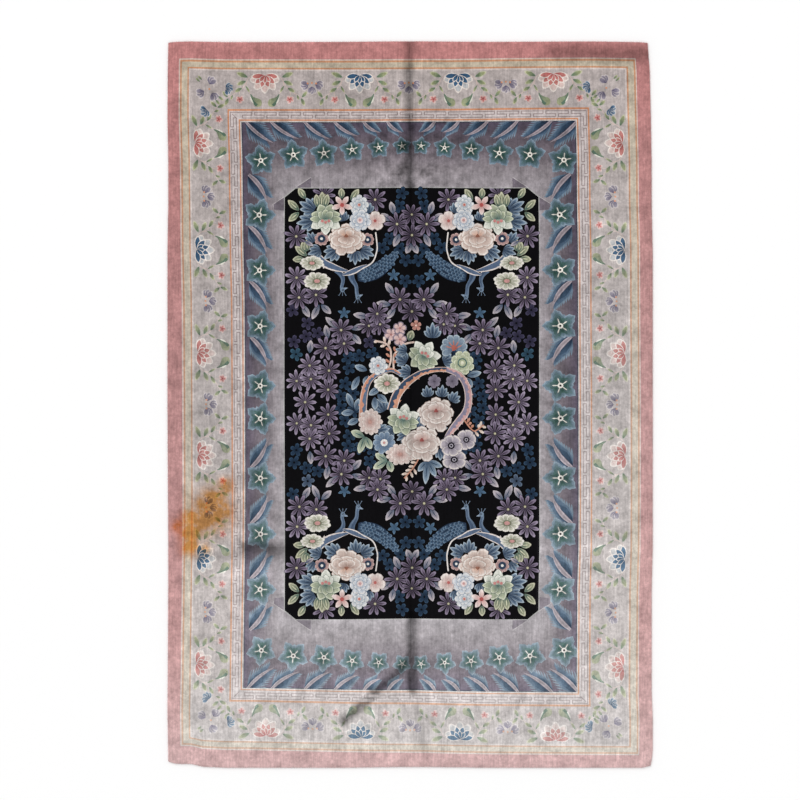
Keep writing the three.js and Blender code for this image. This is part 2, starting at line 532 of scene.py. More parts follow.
# Star-flower band: dark at its outer edge, pale towards the field
bandTones = [(0, "#51465a"), (0.28, "#5c515c"), (0.5, "#6d626b"), (0.75, "#8b8187"), (1, "#9a9197")]
fieldCut = (42, 34)                # cut corners of the dark field
fieldMiddle = (7, 10)              # the field's pattern sits a little off the rug's middle
fieldDye = "#08070a"
fieldLine = {"dye": "#a3a29f", "width": 3}


def fieldCorners(grow=0):
    (left, near), _, (right, far), _ = frameCorners(*fieldEdge)
    left, near, right, far = left - grow, near - grow, right + grow, far + grow
    a, b = fieldCut
    corners = [(left + a, near), (right - a, near), (right, near + b), (right, far - b),
               (right - a, far), (left + a, far), (left, far - b), (left, near + b)]
    return stepped(corners, rug["grid"])


def bandTone(x, y):
    (left, near), _, (right, far), _ = frameCorners(*innerEdge)
    wide = [inner - outer for inner, outer in zip(fieldEdge, innerEdge)]
    share = np.minimum.reduce([(x - left) / wide[0], (right - x) / wide[1], (far - y) / wide[2],
                               (y - near) / wide[3]])
    tones = np.array([linear(dye) for _, dye in bandTones])
    return np.stack([np.interp(share, [s for s, _ in bandTones], tones[:, c]) for c in range(3)], axis=1)


usePen("centre")
lay(frameCorners(*innerEdge, step=rug["grid"]), "#2b3848")
bandGround = lay(frameCorners(*(edge + 3 for edge in innerEdge), step=rug["grid"]), bandTones[0][1])
bandGround["graded"] = True
lay(fieldCorners(fieldLine["width"]), fieldLine["dye"])
lay(fieldCorners(), fieldDye)
# A dark flap on each side of a cut corner, with a pale line along it
(left, near), _, (right, far), _ = frameCorners(*fieldEdge)
for x, y, inX, inY in ((left, near, 1, 1), (right, near, -1, 1), (left, far, 1, -1), (right, far, -1, -1)):
    usePen("centre", (x, y), (inX, 0), (0, inY))
    a, b = fieldCut
    for pale, dye in ((3, "#b5adae"), (0, "#6f6470")):
        lay([(a - pale, -3), (a + 56, -40 - pale), (a + 64 - pale, -3)], dye)
        lay([(-3, b - pale), (-44 - pale, b + 26), (-40, b + 46 - pale), (-3, b + 50 - pale)], dye)

starRings = [(1, "#768ea0"), (0.94, "#5d7789"), (0.82, "#486571"), (0.68, "#2f5450"), (0.52, "#1e443b")]


def starDisc(radius, points=5, valley=0.64, steps=8):
    ring = []
    for step in range(points * steps):
        share = abs((step / steps) % 1 - 0.5) * 2
        angle = 2 * math.pi * step / (points * steps)
        ruffle = 0.06 * (-1) ** step + 0.05 * math.sin(7.7 * step + radius)
        reach = radius * (valley + (1 - valley) * share ** 1.3 + ruffle * (1 - share))
        ring.append((reach * math.cos(angle), reach * math.sin(angle)))
    return ring


def starFlower(x, y, radius, turn):
    for share, dye in starRings:
        lay(put(starDisc(radius * share), x, y, turn), dye, None, 1)
    for step in range(5):
        vein = petal(radius * 0.8, radius * 0.26, 0.42, 0.8, 4)
        lay(put(vein, x, y, turn + 72 * step), "#16362f", "#4c6b72", 1)
    for step in range(5):
        ray = petal(radius * 0.36, radius * 0.075, 0.6, 0.6, 3, radius * 0.1)
        lay(put(ray, x, y, turn + 72 * step), "#cfcabb", None, 2)
    lay(put(disc(radius * 0.16, 9), x, y), "#ddd7ca", None, 2)
    lay(put(disc(radius * 0.07, 6), x, y), "#2a2024", None, 2)


# A feathery plume from its root to its tip, with a pale mauve rib: rows of barbs, outer row first
plumeBarbs = [  # count, first start, step, first angle, step, first reach, step, width, root dye, tip dye
    (8, 0.03, 0.09, 35, -2.2, 0.54, -0.02, 0.15, "#2b4560", "#6c869b"),
    (8, 0.01, 0.09, 21, -1.2, 0.52, -0.02, 0.17, "#1b3350", "#47637e"),
    (5, 0.0, 0.08, 12, -1.5, 0.54, -0.05, 0.2, "#0e1c32", "#2c4761"),
]
plumeRib = [(0, 0, 0.16), (0.3, 0.1, 0.25), (0.65, 0.07, 0.2), (0.99, -0.12, 0.02)]


def plume(rootX, rootY, tipX, tipY, width, hand=1):
    length = math.hypot(tipX - rootX, tipY - rootY)
    turn = math.degrees(math.atan2(tipY - rootY, tipX - rootX))
    for count, start, startStep, angle, angleStep, reach, reachStep, wide, deep, tip in plumeBarbs:
        for step in reversed(range(count)):
            for side in (1, -1):
                along = (start + startStep * step) * length
                root = put([(along, side * width * 0.08)], rootX, rootY, turn)[0]
                barb = petal((reach + reachStep * step) * length, width * wide, 0.55, 0.85, 4)
                lay(put(barb, *root, turn + side * (angle + angleStep * step)), deep, tip, 1)
    placed = put([(u * length, v * width * hand) for u, v, _ in plumeRib], rootX, rootY, turn)
    run = smoothRun([(*point, w * width) for point, (_, _, w) in zip(placed, plumeRib)], 4)
    stroke(run, "#9f919a", None, 0, 1, 1)
    stroke(run, "#85777f", None, 0, 0.45, 1)


bandEnds = [  # distance from the middle, from the band's outer edge, and radius, at each end
    (572, 147, 62), (448, 126, 61), (332, 120, 57), (225, 107, 51), (125, 100, 45), (36, 94, 38),
]
bandSides = {"fromEdge": 63, "along": (707, 498, 287, 62), "plumes": (900, 707, 498, 287), "radius": 66}
endPlumes = [(627, 88, 75), (533, 91, 62), (406, 81, 62), (293, 75, 52), (182, 52, 40), (91, 45, 40)]
for name, (origin, u, v, length) in sidePens(innerEdge).items():
    middle = (fieldMiddle[0] - origin[0]) * u[0] + (fieldMiddle[1] - origin[1]) * u[1]
    start = (origin[0] + u[0] * middle, origin[1] + u[1] * middle)
    for hand in (1, -1):
        usePen("centre", start, (u[0] * hand, u[1] * hand), v)
        if name in ("far", "near"):
            for root, run, deep in endPlumes:
                plume(root, -4, root - run * 1.15, deep * 1.15, 52, -1)
            for along, inward, radius in bandEnds:
                starFlower(along, inward, radius, -84)
        else:
            across = bandSides["fromEdge"]
            for along in bandSides["plumes"]:
                plume(along - 40, across - 40, along - 138, across + 36, 66, -1)
            for along in bandSides["along"]:
                starFlower(along, across, bandSides["radius"], 90)
print("star-flower band laid")

# Flowers of the dark field, in mm from its middle lines, drawn for one quarter and mirrored to all four
daisyDyes = [
    {"edge": "#8b7a97", "deep": "#362a3d", "fill": "#6f5d79", "root": "#4b3d54"},
    {"edge": "#9e8da8", "deep": "#43364b", "fill": "#826f8d", "root": "#5a4a63"},
    {"edge": "#7d6b88", "deep": "#2e2434", "fill": "#5a4a63", "root": "#3f3347"},
]
daisyShape = {"petals": 9, "width": 0.31, "belly": 0.7, "blunt": 0.56, "inset": 0.42, "vein": "#2f2534",
              "steps": 5, "uneven": 0.07, "line": "#0b090d", "lineWidth": 1.5,
              "heart": [(0.13, "#5f5b3c"), (0.09, "#b9b287")]}
smallDyes = {
    "navy": {"edge": "#254765", "deep": "#0e2036", "fill": "#1a3854", "root": "#11283f"},
    "teal": {"edge": "#2a5c75", "deep": "#133346", "fill": "#1e4b63", "root": "#16384d"},
    "plum": {"edge": "#474363", "deep": "#232037", "fill": "#373350", "root": "#2a263e"},
    "slate": {"edge": "#5d748f", "deep": "#263851", "fill": "#425873", "root": "#2f4460"},
}
smallShape = {"petals": 5, "width": 0.66, "belly": 0.66, "blunt": 0.5, "inset": 0.3, "steps": 4,
              "uneven": 0.06, "line": "#080a10", "lineWidth": 1.4, "heart": [(0.15, "#07080d")]}
starShape = {"petals": 5, "width": 0.5, "belly": 0.5, "blunt": 0.8, "inset": 0.36, "steps": 4,
             "uneven": 0.04, "edge": "#4a7391", "deep": "#294b68", "fill": "#3a6387", "root": "#2f5474",
             "heart": []}
daisyLeaf = {"edge": "#c4b6ba", "root": "#3c5a7a", "deep": "#2a4767", "fill": "#a99ba4", "vein": "#27405c",
             "inset": 0.3, "belly": 0.52, "blunt": 0.75, "line": "#0b090d", "lineWidth": 1.2}

daisies = [  # side, end, radius, tone
    (403, 0, 46, 1), (316, 47, 44, 0), (435, 80, 43, 1), (381, 87, 45, 1), (313, 119, 45, 0),
    (386, 138, 45, 1), (326, 204, 47, 0), (256, 221, 46, 0), (267, 272, 47, 0), (162, 287, 42, 2),
    (120, 292, 42, 0), (131, 332, 45, 0), (0, 340, 46, 2), (45, 385, 48, 0), (426, 395, 47, 0),
    (362, 405, 45, 0), (435, 470, 47, 1), (437, 626, 47, 0), (0, 628, 46, 2), (56, 670, 47, 0),
    (0, 706, 42, 2), (139, 763, 46, 0), (331, 782, 45, 0),
]
smallFlowers = [  # side, end, dye in the near half, dye in the far half
    (199, 174, "navy", "navy"), (150, 181, "navy", "navy"), (237, 128, "navy", "navy"),
    (252, 70, "navy", "navy"), (222, 34, "navy", "navy"), (268, 22, "navy", "navy"),
    (241, 166, "navy", "navy"), (437, 181, "navy", "teal"), (445, 228, "navy", "plum"),
    (399, 248, "navy", "plum"), (356, 260, "navy", "plum"), (394, 298, "slate", "plum"),
    (160, 226, "navy", "plum"), (450, 347, "navy", "plum"), (37, 786, "navy", "navy"),
    (48, 738, "navy", "navy"), (24, 534, "navy", "navy"), (26, 456, "navy", "navy"),
    (45, 578, "navy", "navy"), (84, 616, "navy", "navy"), (112, 582, "navy", "navy"),
]
blueStars = [(256, 336, 24), (69, 477, 25)]
daisyLeaves = [  # base, then tip
    (386, 185, 381, 234), (316, 240, 326, 291), (228, 257, 192, 219), (228, 274, 177, 291),
    (279, 279, 326, 321), (415, 368, 386, 321), (350, 368, 377, 313), (343, 368, 305, 334),
    (164, 321, 222, 331), (63, 355, 94, 313), (80, 365, 134, 374), (69, 404, 100, 449),
    (46, 633, 69, 585), (3, 597, 22, 559), (80, 683, 116, 710), (67, 706, 80, 755),
]


def quarters():
    for along in (-1, 1):
        for across in (-1, 1):
            usePen("centre", fieldMiddle, (across, 0), (0, along))
            yield across, along


# A flower on a middle line is laid once, not once for each quarter
def twice(side, end, across, along):
    return (side == 0 and across < 0) or (end == 0 and along < 0)


for across, along in quarters():
    for side, end, nearDye, farDye in smallFlowers:
        style = {**smallShape, **smallDyes[farDye if along > 0 else nearDye]}
        flower(side, end, 26, style, side + end)
    for side, end, radius in blueStars:
        flower(side, end, radius, starShape, 90)
for across, along in quarters():
    for baseX, baseY, tipX, tipY in daisyLeaves:
        leaf(baseX, baseY, tipX, tipY, 25, daisyLeaf)
for across, along in quarters():
    for side, end, radius, tone in daisies:
        if not twice(side, end, across, along):
            flower(side, end, radius, {**daisyShape, **daisyDyes[tone]}, 7 * side + 3 * end)
# The band covers what would stand out over the field's ends
endCover = {"from": 280, "to": 382, "depth": 26}
for across, along in quarters():
    (_, near), _, (_, far), _ = frameCorners(*fieldEdge)
    end = far - fieldMiddle[1] if along > 0 else fieldMiddle[1] - near
    start, stop = endCover["from"], endCover["to"]
    ground, rim = end + fieldLine["width"], end + endCover["depth"]
    cover = lay([(start, ground), (stop, ground), (stop, rim), (start, rim)], bandTones[-1][1])
    cover["graded"] = True
    lay([(start, end), (stop, end), (stop, ground), (start, ground)], fieldLine["dye"])
print("field flowers laid")

# Larger flowers, shared by the corner bouquets and the middle one
blueLeaf = {"edge": "#9db2c2", "root": "#2b4563", "deep": "#1c314c", "fill": "#5a7896", "vein": "#182a43",
            "inset": 0.32, "belly": 0.55, "blunt": 0.8, "steps": 5, "line": "#0c121c", "lineWidth": 1}
slateLeaf = {"edge": "#a3b4c0", "root": "#3b5875", "deep": "#2a4562", "fill": "#7490a8", "vein": "#213a55",
             "inset": 0.26, "belly": 0.52, "blunt": 0.7, "line": "#0b090d", "lineWidth": 1.2}
oliveLeaf = {"edge": "#c4c09a", "root": "#6f8468", "deep": "#2a5650", "fill": "#97996f", "vein": "#c9c59a",
             "inset": 0.34, "belly": 0.52, "blunt": 0.72, "line": "#0b090d", "lineWidth": 1.2}
paleLeaf = {"edge": "#d3d6b4", "root": "#5d8578", "deep": "#36645f", "fill": "#b2ba94", "vein": "#2f5a5c",
            "inset": 0.26, "belly": 0.55, "blunt": 0.7, "line": "#0b090d", "lineWidth": 1.2}
broad = {"belly": 0.72, "blunt": 0.48, "inset": 0.2, "steps": 5, "uneven": 0.05, "lineWidth": 0.8}
blossoms = {
    "poppy": {**broad, "petals": 11, "width": 0.54, "edge": "#e4dcd2", "root": "#b9b79c", "deep": "#585c40",
              "fill": "#c3c2a8", "inset": 0.4, "line": "#8f8d72",
              "heart": [(0.34, "#6f7354"), (0.22, "#cd8781")]},
    "anemone": {**broad, "petals": 6, "width": 0.95, "edge": "#dccfc4", "root": "#8d839c",
                "deep": "#392f50", "fill": "#bbafb9", "inset": 0.3, "line": "#6f6580", "lineWidth": 1.3,
                "heart": [(0.32, "#15111a"), (0.18, "#a79fae"), (0.1, "#15111a")]},
    "bluePeony": {**broad, "edge": "#a9bac3", "root": "#516985", "deep": "#465d7a",
                  "fill": "#7a91a6", "line": "#3f5873"},
    "greenPeony": {**broad, "petals": 8, "width": 0.66, "edge": "#d9dabb", "root": "#7f9168",
                   "deep": "#6d855c", "fill": "#b5bb91", "line": "#7d8a63", "rows": [(1, 0), (0.72, 20)],
                   "heart": [(0.4, "#2f5f5c"), (0.31, "#a2ab7f"), (0.16, "#d3d2b0")]},
    "blueFlower": {**broad, "petals": 10, "width": 0.54, "edge": "#a5b8c6", "root": "#36557a",
                   "deep": "#2c496d", "fill": "#6f8ba8", "line": "#2c4766",
                   "heart": [(0.32, "#ded9d4"), (0.13, "#c98a84")]},
    "carnation": {**broad, "petals": 13, "width": 0.42, "edge": "#ddd0c7", "root": "#bd8b80",
                  "deep": "#b3756b", "fill": "#d3bfb5", "line": "#c2a699", "rows": [(1, 0), (0.68, 14)],
                  "heart": [(0.16, "#b98274")]},
    "mauveBlossom": {**broad, "petals": 6, "width": 0.8, "edge": "#8f8497", "root": "#6a5f74",
                     "deep": "#5f5569", "fill": "#7f7488", "line": "#3d3545", "heart": [(0.14, "#4d4457")]},
    "pinkBlossom": {**broad, "petals": 5, "width": 0.85, "edge": "#84788f", "root": "#c08f8c",
                    "deep": "#cf9994", "fill": "#ddb9b2", "inset": 0.34, "line": "#4b4355",
                    "heart": [(0.16, "#b56f6a")]},
    "coralBlossom": {**broad, "petals": 5, "width": 0.75, "edge": "#d49684", "root": "#a85c4c",
                     "deep": "#a95d4d", "fill": "#c98671", "line": "#5c3c38", "heart": [(0.2, "#e0b8a4")]},
    "blueWhite": {**broad, "petals": 8, "width": 0.66, "rows": [(1, 0), (0.64, 22)], "edge": "#dfdad6",
                  "root": "#7f99b4", "deep": "#3f638d", "fill": "#c9d0d8", "inset": 0.34,
                  "line": "#5f7d9c", "lineWidth": 1.3, "heart": [(0.3, "#dcc7c4"), (0.14, "#c98c88")]},
    "pinkWhite": {**broad, "petals": 5, "width": 0.9, "edge": "#e4d9d1", "root": "#d0a49c",
                  "deep": "#bf857c", "fill": "#e0d0c6", "inset": 0.32, "line": "#a68a82",
                  "lineWidth": 1.2, "heart": [(0.16, "#c0504a")]},
    "white": {**broad, "petals": 8, "width": 0.62, "rows": [(1, 0), (0.6, 20)], "edge": "#e0dbd7",
              "root": "#9fb3c2", "deep": "#5d7d9b", "fill": "#d3d7da", "inset": 0.36, "line": "#6f8699",
              "lineWidth": 1.2, "heart": [(0.2, "#d8b3a8"), (0.12, "#c65a4c")]},
    "lily": {**broad, "petals": 5, "width": 0.5, "belly": 0.55, "blunt": 0.75, "edge": "#ead8d0",
             "root": "#d9a9a0", "deep": "#c97770", "fill": "#e5d2ca", "line": "#8f6a66",
             "heart": [(0.2, "#b8423c")]},
    "pinkBlue": {**broad, "petals": 8, "width": 0.66, "edge": "#dcaea0", "root": "#b98a84",
                 "deep": "#1d3350", "fill": "#c08f88", "line": "#3a3f52",
                 "heart": [(0.56, "#22364f"), (0.2, "#e0dcd4")]},
}
peonyDyes = {
    "blush": {"edge": "#e6dad0", "root": "#9c6a52", "deep": "#8a5540", "fill": "#d6bdaf", "line": "#a5806c",
              "accent": "#c8804f", "heart": "#8f5238"},
    "cream": {"edge": "#dfd4cb", "root": "#8f675c", "deep": "#7f4f46", "fill": "#cbb8ad", "line": "#9a7c70",
              "accent": "#b0695c", "heart": "#9c403a"},
}
peonyRows = [  # count, reach, width, first and last angle, root above the middle, glowing root or not
    (9, 1, 0.62, 0, 320, 0, False), (3, 0.86, 0.72, -58, 58, 0, False), (2, 0.64, 0.6, -26, 26, 0.1, True),
    (2, 0.8, 0.6, -100, 100, 0.12, True), (3, 0.86, 0.78, 124, 236, 0.24, False),
    (2, 0.6, 0.62, 152, 208, 0.26, False),
]


def blossom(kind, x, y, size, turn=0, squash=1):
    flower(x, y, size, blossoms[kind], turn, squash)


# Ruffled peony: two rings of broad petals, a hood with a glowing root, and a cup in front
def peony(dyes, x, y, size, turn=0, squash=0.84):
    plain = {**broad, **peonyDyes[dyes], "lineWidth": 1.5, "inset": 0.24}
    glowing = {**plain, "root": plain["heart"], "deep": plain["accent"], "inset": 0.34}
    for count, reach, width, first, last, shift, glows in peonyRows:
        rootX, rootY = put([(size * shift, 0)], x, y, turn, squash)[0]
        for step in range(count):
            wave = 1 + 0.08 * math.sin(2.3 * step + count)
            angle = turn + first + (last - first) * step / (count - 1)
            style = glowing if glows else plain
            dyedPetal(rootX, rootY, angle, size * reach * wave, size * width, style, squash)
    heartX, heartY = put([(size * 0.22, 0)], x, y, turn, squash)[0]
    lay(put(disc(size * 0.11, 9, 3, 0.3), heartX, heartY, turn, squash), plain["heart"], None, 1)


# Water-lily peony: pale pointed petals at the back, green ones in front, rosy heart
def greenLotus(x, y, size, turn=90):
    pale = {"edge": "#e9e6db", "root": "#a9b39a", "deep": "#7b907c", "fill": "#d9d9ca", "inset": 0.22,
            "belly": 0.52, "blunt": 0.78, "line": "#4f6a58", "lineWidth": 1.3}
    green = {"edge": "#cfd2b0", "root": "#4c7068", "deep": "#2f5a58", "fill": "#a8b088", "inset": 0.24,
             "belly": 0.54, "blunt": 0.76, "line": "#2a4640", "lineWidth": 1.3}
    fan(x, y, size, [
        {"count": 3, "from": -60, "to": 60, "length": 0.96, "droop": -0.06, "width": 0.62, "style": pale},
        {"count": 4, "from": 112, "to": 248, "length": 1, "droop": 0.06, "width": 0.66, "style": green},
        {"count": 2, "from": -92, "to": 92, "length": 0.96, "width": 0.46, "style": green},
        {"count": 3, "from": -44, "to": 44, "length": 0.62, "width": 0.46, "style": pale},
        {"count": 3, "from": 138, "to": 222, "length": 0.62, "width": 0.5, "style": green},
    ], turn)
    for step in (-1, 0, 1):
        spot = put([(size * (0.1 if step else 0.18), step * size * 0.2)], x, y, turn)[0]
        lay(put(disc(size * 0.1, 7), *spot), "#c9716c", None, 1)


# A bough: two dyes that meet in a ragged line, a pale edge, and thorns on its outer side
def bough(stations, outer, inner, thorns=0, hand=1, share=0.55, ragged=0.14):
    run = smoothRun(stations, 6)
    for step in range(thorns):
        at = int((step + 0.5) * (len(run) - 1) / thorns)
        (x, y, width), ahead = run[at], run[at + 1]
        turn = math.degrees(math.atan2(ahead[1] - y, ahead[0] - x)) + hand * 50
        lay(put(petal(width * 0.95, width * 0.4, 0.35, 0.9, 3), x, y, turn), outer)
    stroke(run, "#dccac0", None, 0, 1.1)
    stroke(run, outer, None, 0, 0.94, 1)
    far = runSides(run, -hand * 0.42, 0)[0]
    ragline = []
    for index in range(len(run)):
        swing = math.sin(2.7 * index) + 0.7 * math.sin(1.3 * index)
        ragline.append(runSides(run, hand * (share - 0.5 + ragged * swing), 0)[0][index])
    lay(far + ragline[::-1], inner, None, 1)


def peacockNeck(stations, beak):
    run = smoothRun(stations, 5)
    stroke(run, "#6f89a6", "#445f80", 0, 1, 1)
    stroke(run, "#4c6788", "#2d4666", 0.12, 0.5, 1)
    x, y, _ = stations[0]
    for bend in (-14, 0, 14):
        stroke([(x + 0.3 * bend, y - 7, 1.8), (x + 0.8 * bend, y - 17, 1.4), (x + bend, y - 22, 3)],
               "#6d87a5")
    lay(put(petal(21, 9, 0.3, 0.9, 4), x, y + 2, beak), "#6f89a6", "#8aa0b8")
    lay(put(disc(9, 10), x, y), "#64809c", None, 1)
    lay(put(disc(4, 8), x - 2, y - 1), "#16233a", None, 1)
    lay(put(disc(1.8, 6), x - 2, y - 1), "#7f97b0", None, 1)


tailScale = {"edge": "#6385a3", "root": "#1f3a55", "deep": "#162c45", "fill": "#33587a", "inset": 0.4,
             "steps": 4, "belly": 0.66, "blunt": 0.5, "line": "#11233a", "lineWidth": 0.8}


# Folded tail: a dark body covered in scales that overlap, each row set between those before it
def peacockTail(stations):
    run = smoothRun(stations, 5)
    stroke(run, "#1c3450", None, 0, 1, 1)
    for index in range(len(run) - 2, -1, -1):
        (x, y, width), (nextX, nextY, _) = run[index], run[index + 1]
        turn = math.atan2(nextY - y, nextX - x)
        count = int(width / 20)
        odd = index % 2
        for step in range(count + odd):
            across = (step - (count - 1 + odd) / 2) * 20
            scaleX, scaleY = x - math.sin(turn) * across, y + math.cos(turn) * across
            dyedPetal(scaleX, scaleY, math.degrees(turn), 17, 14, tailScale)


cornerSprays = [  # base, turn and size of the blue leaves; an end points towards the field's middle at -90
    (282, 576, -35, 62), (214, 570, -90, 54), (192, 574, -155, 56), (372, 684, -8, 66), (368, 726, 28, 66),
    (370, 604, 55, 46), (258, 684, 80, 44), (164, 712, 75, 48), (345, 575, -20, 52),
]
cornerLeaves = [  # base, then tip
    (427, 717, 466, 683), (427, 724, 469, 763), (403, 768, 429, 808), (343, 731, 339, 795),
    (330, 735, 318, 785), (356, 735, 362, 785), (265, 768, 267, 808), (231, 761, 201, 804),
    (396, 551, 441, 589), (407, 542, 450, 538), (400, 566, 415, 604), (394, 570, 398, 612),
]


def cornerBouquet():
    peacockTail([(205, 474, 34), (178, 478, 52), (140, 492, 60), (104, 516, 52), (76, 542, 34),
                 (58, 560, 10)])
    peacockNeck([(262, 424, 15), (265, 436, 12), (260, 458, 13), (266, 480, 19), (282, 500, 28)], 165)
    peacockNeck([(204, 396, 17), (208, 412, 13), (211, 438, 14), (226, 464, 20), (233, 494, 29)], 160)
    bough([(372, 562, 32), (335, 528, 27), (301, 511, 25), (267, 500, 16), (240, 494, 6)], "#d9ccc5",
          "#4c6486", 2, 1, 0.84, 0.03)
    stem([(196, 499), (158, 519), (143, 536), (135, 559), (131, 585), (137, 640)], 5, "#e0d6cf")
    bough([(262, 480, 4), (237, 487, 17), (210, 498, 19), (184, 511, 10), (168, 516, 5)],
          "#e0d6cf", "#4c6486", 0, 1, 0.82, 0.03)
    for x, y, turn, size in cornerSprays:
        spray(x, y, turn, size, blueLeaf)
    for baseX, baseY, tipX, tipY in cornerLeaves:
        leaf(baseX, baseY, tipX, tipY, 26, oliveLeaf)
    leaf(405, 608, 372, 590, 16, daisyLeaf)
    blossom("poppy", 377, 525, 46, 0, 0.6)
    blossom("poppy", 358, 457, 51, 0, 0.68)
    blossom("pinkBlue", 341, 617, 27, 10)
    blossom("pinkBlue", 167, 612, 25, 40)
    peony("blush", 248, 614, 70, 90)
    blossom("pinkWhite", 139, 683, 38, 20)
    blossom("white", 199, 744, 37, 0)
    blossom("blueWhite", 196, 686, 42, 15)
    greenLotus(326, 690, 62, -90)
    blossom("lily", 264, 744, 40, -90)


for across, along in quarters():
    cornerBouquet()
print("corner bouquets laid")

# Middle bouquet: two boughs that ring a mass of peonies, mm from the field's middle
middleSprays = [
    (62, 18, 100, 44), (112, 18, 85, 46), (150, 0, 60, 46), (78, 240, 90, 60), (-20, 150, 150, 56),
    (118, 150, 20, 52), (-6, 108, 170, 52), (-105, -36, 120, 54), (-70, -110, 200, 50),
    (-20, -125, 210, 44), (98, -104, 60, 52), (20, -104, 80, 48), (104, -180, -60, 50),
    (-20, 190, 170, 44), (-130, -110, 10, 48),
]
slateLeaves = [  # base, then tip
    (-169, 119, -216, 137), (-165, 99, -180, 62), (-199, 97, -226, 45), (-223, -21, -245, 34),
    (-211, -34, -201, 13), (-218, -36, -267, -43), (-199, -64, -243, -83), (-117, 55, -163, 26),
    (-130, 28, -94, -4), (-140, 18, -139, -31), (208, 98, 262, 112), (206, 92, 226, 54),
    (57, -225, 22, -264), (57, -225, 114, -246), (60, -228, 90, -284), (57, -228, 50, -313),
]
paleLeaves = [
    (-179, -132, -230, -110), (-179, -132, -201, -194), (-176, -132, -154, -178), (-94, -223, -139, -196),
    (-94, -223, -147, -252), (-90, -223, -76, -266),
]
twigs = [
    [(-94, 116), (-80, 153), (-81, 196), (-100, 220), (-140, 230)],
    [(-69, 120), (-69, 170), (-56, 190), (-26, 217), (10, 224)],
]
orangeBuds = [(-81, 190, -98, 204), (-80, 166, -98, 182), (-82, 146, -101, 160), (-62, 186, -68, 208),
              (-69, 166, -60, 182), (-69, 142, -62, 156)]
creamBuds = [(-100, 220, -106, 246), (-88, 208, -84, 234), (-96, 214, -120, 208), (-128, 228, -144, 226)]
rightSprig = [(197, -68), (214, -92), (235, -110), (255, -98), (270, -86)]
rightBuds = [(206, -82, 218, -60), (212, -90, 224, -76), (222, -100, 232, -86), (256, -98, 262, -72),
             (250, -100, 252, -84), (262, -92, 280, -96), (250, -104, 272, -118), (236, -110, 252, -130)]
leftSprig = [(30, -205), (16, -232), (-2, -258), (-30, -290)]
leftBuds = [(24, -216, 0, -216), (18, -230, -6, -230), (10, -244, -14, -246), (0, -256, -26, -262),
            (-12, -270, -40, -276), (6, -252, 16, -276), (-6, -264, 2, -288), (-20, -280, -22, -302)]
coralBud = {"edge": "#d58f6d", "root": "#b8613f", "deep": "#b5603f", "fill": "#d58a66", "inset": 0.3,
            "steps": 4}
coralRay = {"edge": "#c07a67", "root": "#b5533f", "deep": "#b5533f", "fill": "#c4705c", "steps": 3}
creamBud = {"edge": "#e3d3c3", "root": "#cf9d80", "deep": "#cf9d80", "fill": "#e0d0c0", "inset": 0.3,
            "steps": 4}


def middleBouquet():
    for x, y, turn, size in middleSprays[3:9]:
        spray(x, y, turn, size, blueLeaf)
    for baseX, baseY, tipX, tipY in slateLeaves:
        leaf(baseX, baseY, tipX, tipY, 26, slateLeaf)
    for baseX, baseY, tipX, tipY in paleLeaves:
        leaf(baseX, baseY, tipX, tipY, 29, paleLeaf)
    for x, y, size in ((-79, 253, 26), (-45, 276, 26), (-45, 234, 27)):
        blossom("pinkBlossom", x, y, size, 3 * x)
    blossom("coralBlossom", 16, 287, 20, 20)
    leaf(-12, 230, 2, 268, 30, oliveLeaf)
    for twig in twigs:
        stem(twig, 7, "#d8b9a8")
    for baseX, baseY, tipX, tipY in orangeBuds:
        leaf(baseX, baseY, tipX, tipY, 11, coralBud)
    for baseX, baseY, tipX, tipY in creamBuds:
        leaf(baseX, baseY, tipX, tipY, 12, creamBud)
    bough([(-186, -60, 26), (-182, 15, 25), (-170, 64, 22), (-147, 94, 18), (-109, 114, 16), (-75, 119, 14),
           (-45, 102, 10)], "#d0825c", "#4f6a8a", 6)
    greenLotus(46, 172, 63, 60)
    fan(159, 200, 55, [
        {"count": 8, "from": -112, "to": 112, "length": 1, "droop": 0.1, "width": 0.5,
         "style": blossoms["bluePeony"]},
        {"count": 5, "from": -70, "to": 70, "length": 0.62, "width": 0.1, "style": coralRay},
    ], 94)
    lay(put(disc(11, 9, 3, 0.2), 159, 203), "#b5533f", None, 1)
    blossom("greenPeony", 190, 147, 46, 20)
    bough([(-76, -34, 34), (-58, 22, 32), (-26, 64, 29), (8, 91, 24), (42, 110, 19), (95, 121, 16),
           (137, 121, 18)],
          "#d38a62", "#2f4866", 5, -1)
    bough([(130, 122, 17), (171, 106, 20), (197, 79, 23), (212, 38, 25), (212, -8, 25), (201, -42, 26),
           (178, -72, 26), (152, -104, 23), (127, -134, 10)], "#cc938f", "#837a95", 12, 1, 0.6)
    for x, y in ((84, 76), (152, 78)):
        blossom("mauveBlossom", x, y, 25, x)
    for sprig, buds in ((rightSprig, rightBuds), (leftSprig, leftBuds)):
        stem(sprig, 5, "#c97c58")
        for index, (baseX, baseY, tipX, tipY) in enumerate(buds):
            leaf(baseX, baseY, tipX, tipY, 11, coralBud if index < 3 and sprig is rightSprig else creamBud)
    for x, y, turn, size in middleSprays[:3] + middleSprays[9:]:
        spray(x, y, turn, size, blueLeaf)
    blossom("white", -128, 136, 36, 40)
    blossom("poppy", -94, 68, 50, 0, 0.76)
    blossom("anemone", 205, -143, 38, 10)
    blossom("anemone", 159, -219, 45, 30, 0.86)
    blossom("anemone", 148, -166, 42, 50)
    blossom("carnation", -158, -76, 46, 0, 1.08)
    blossom("blueFlower", -105, -155, 44, 0)
    peony("cream", 91, -49, 68, 90, 0.94)
    greenLotus(-33, -68, 63, 80)
    blossom("carnation", -45, -200, 55, 0, 0.74)
    peony("cream", 37, -160, 72, 90, 0.9)


usePen("centre", fieldMiddle)
middleBouquet()
print("middle bouquet laid:", len(boards["centre"]), "shapes")
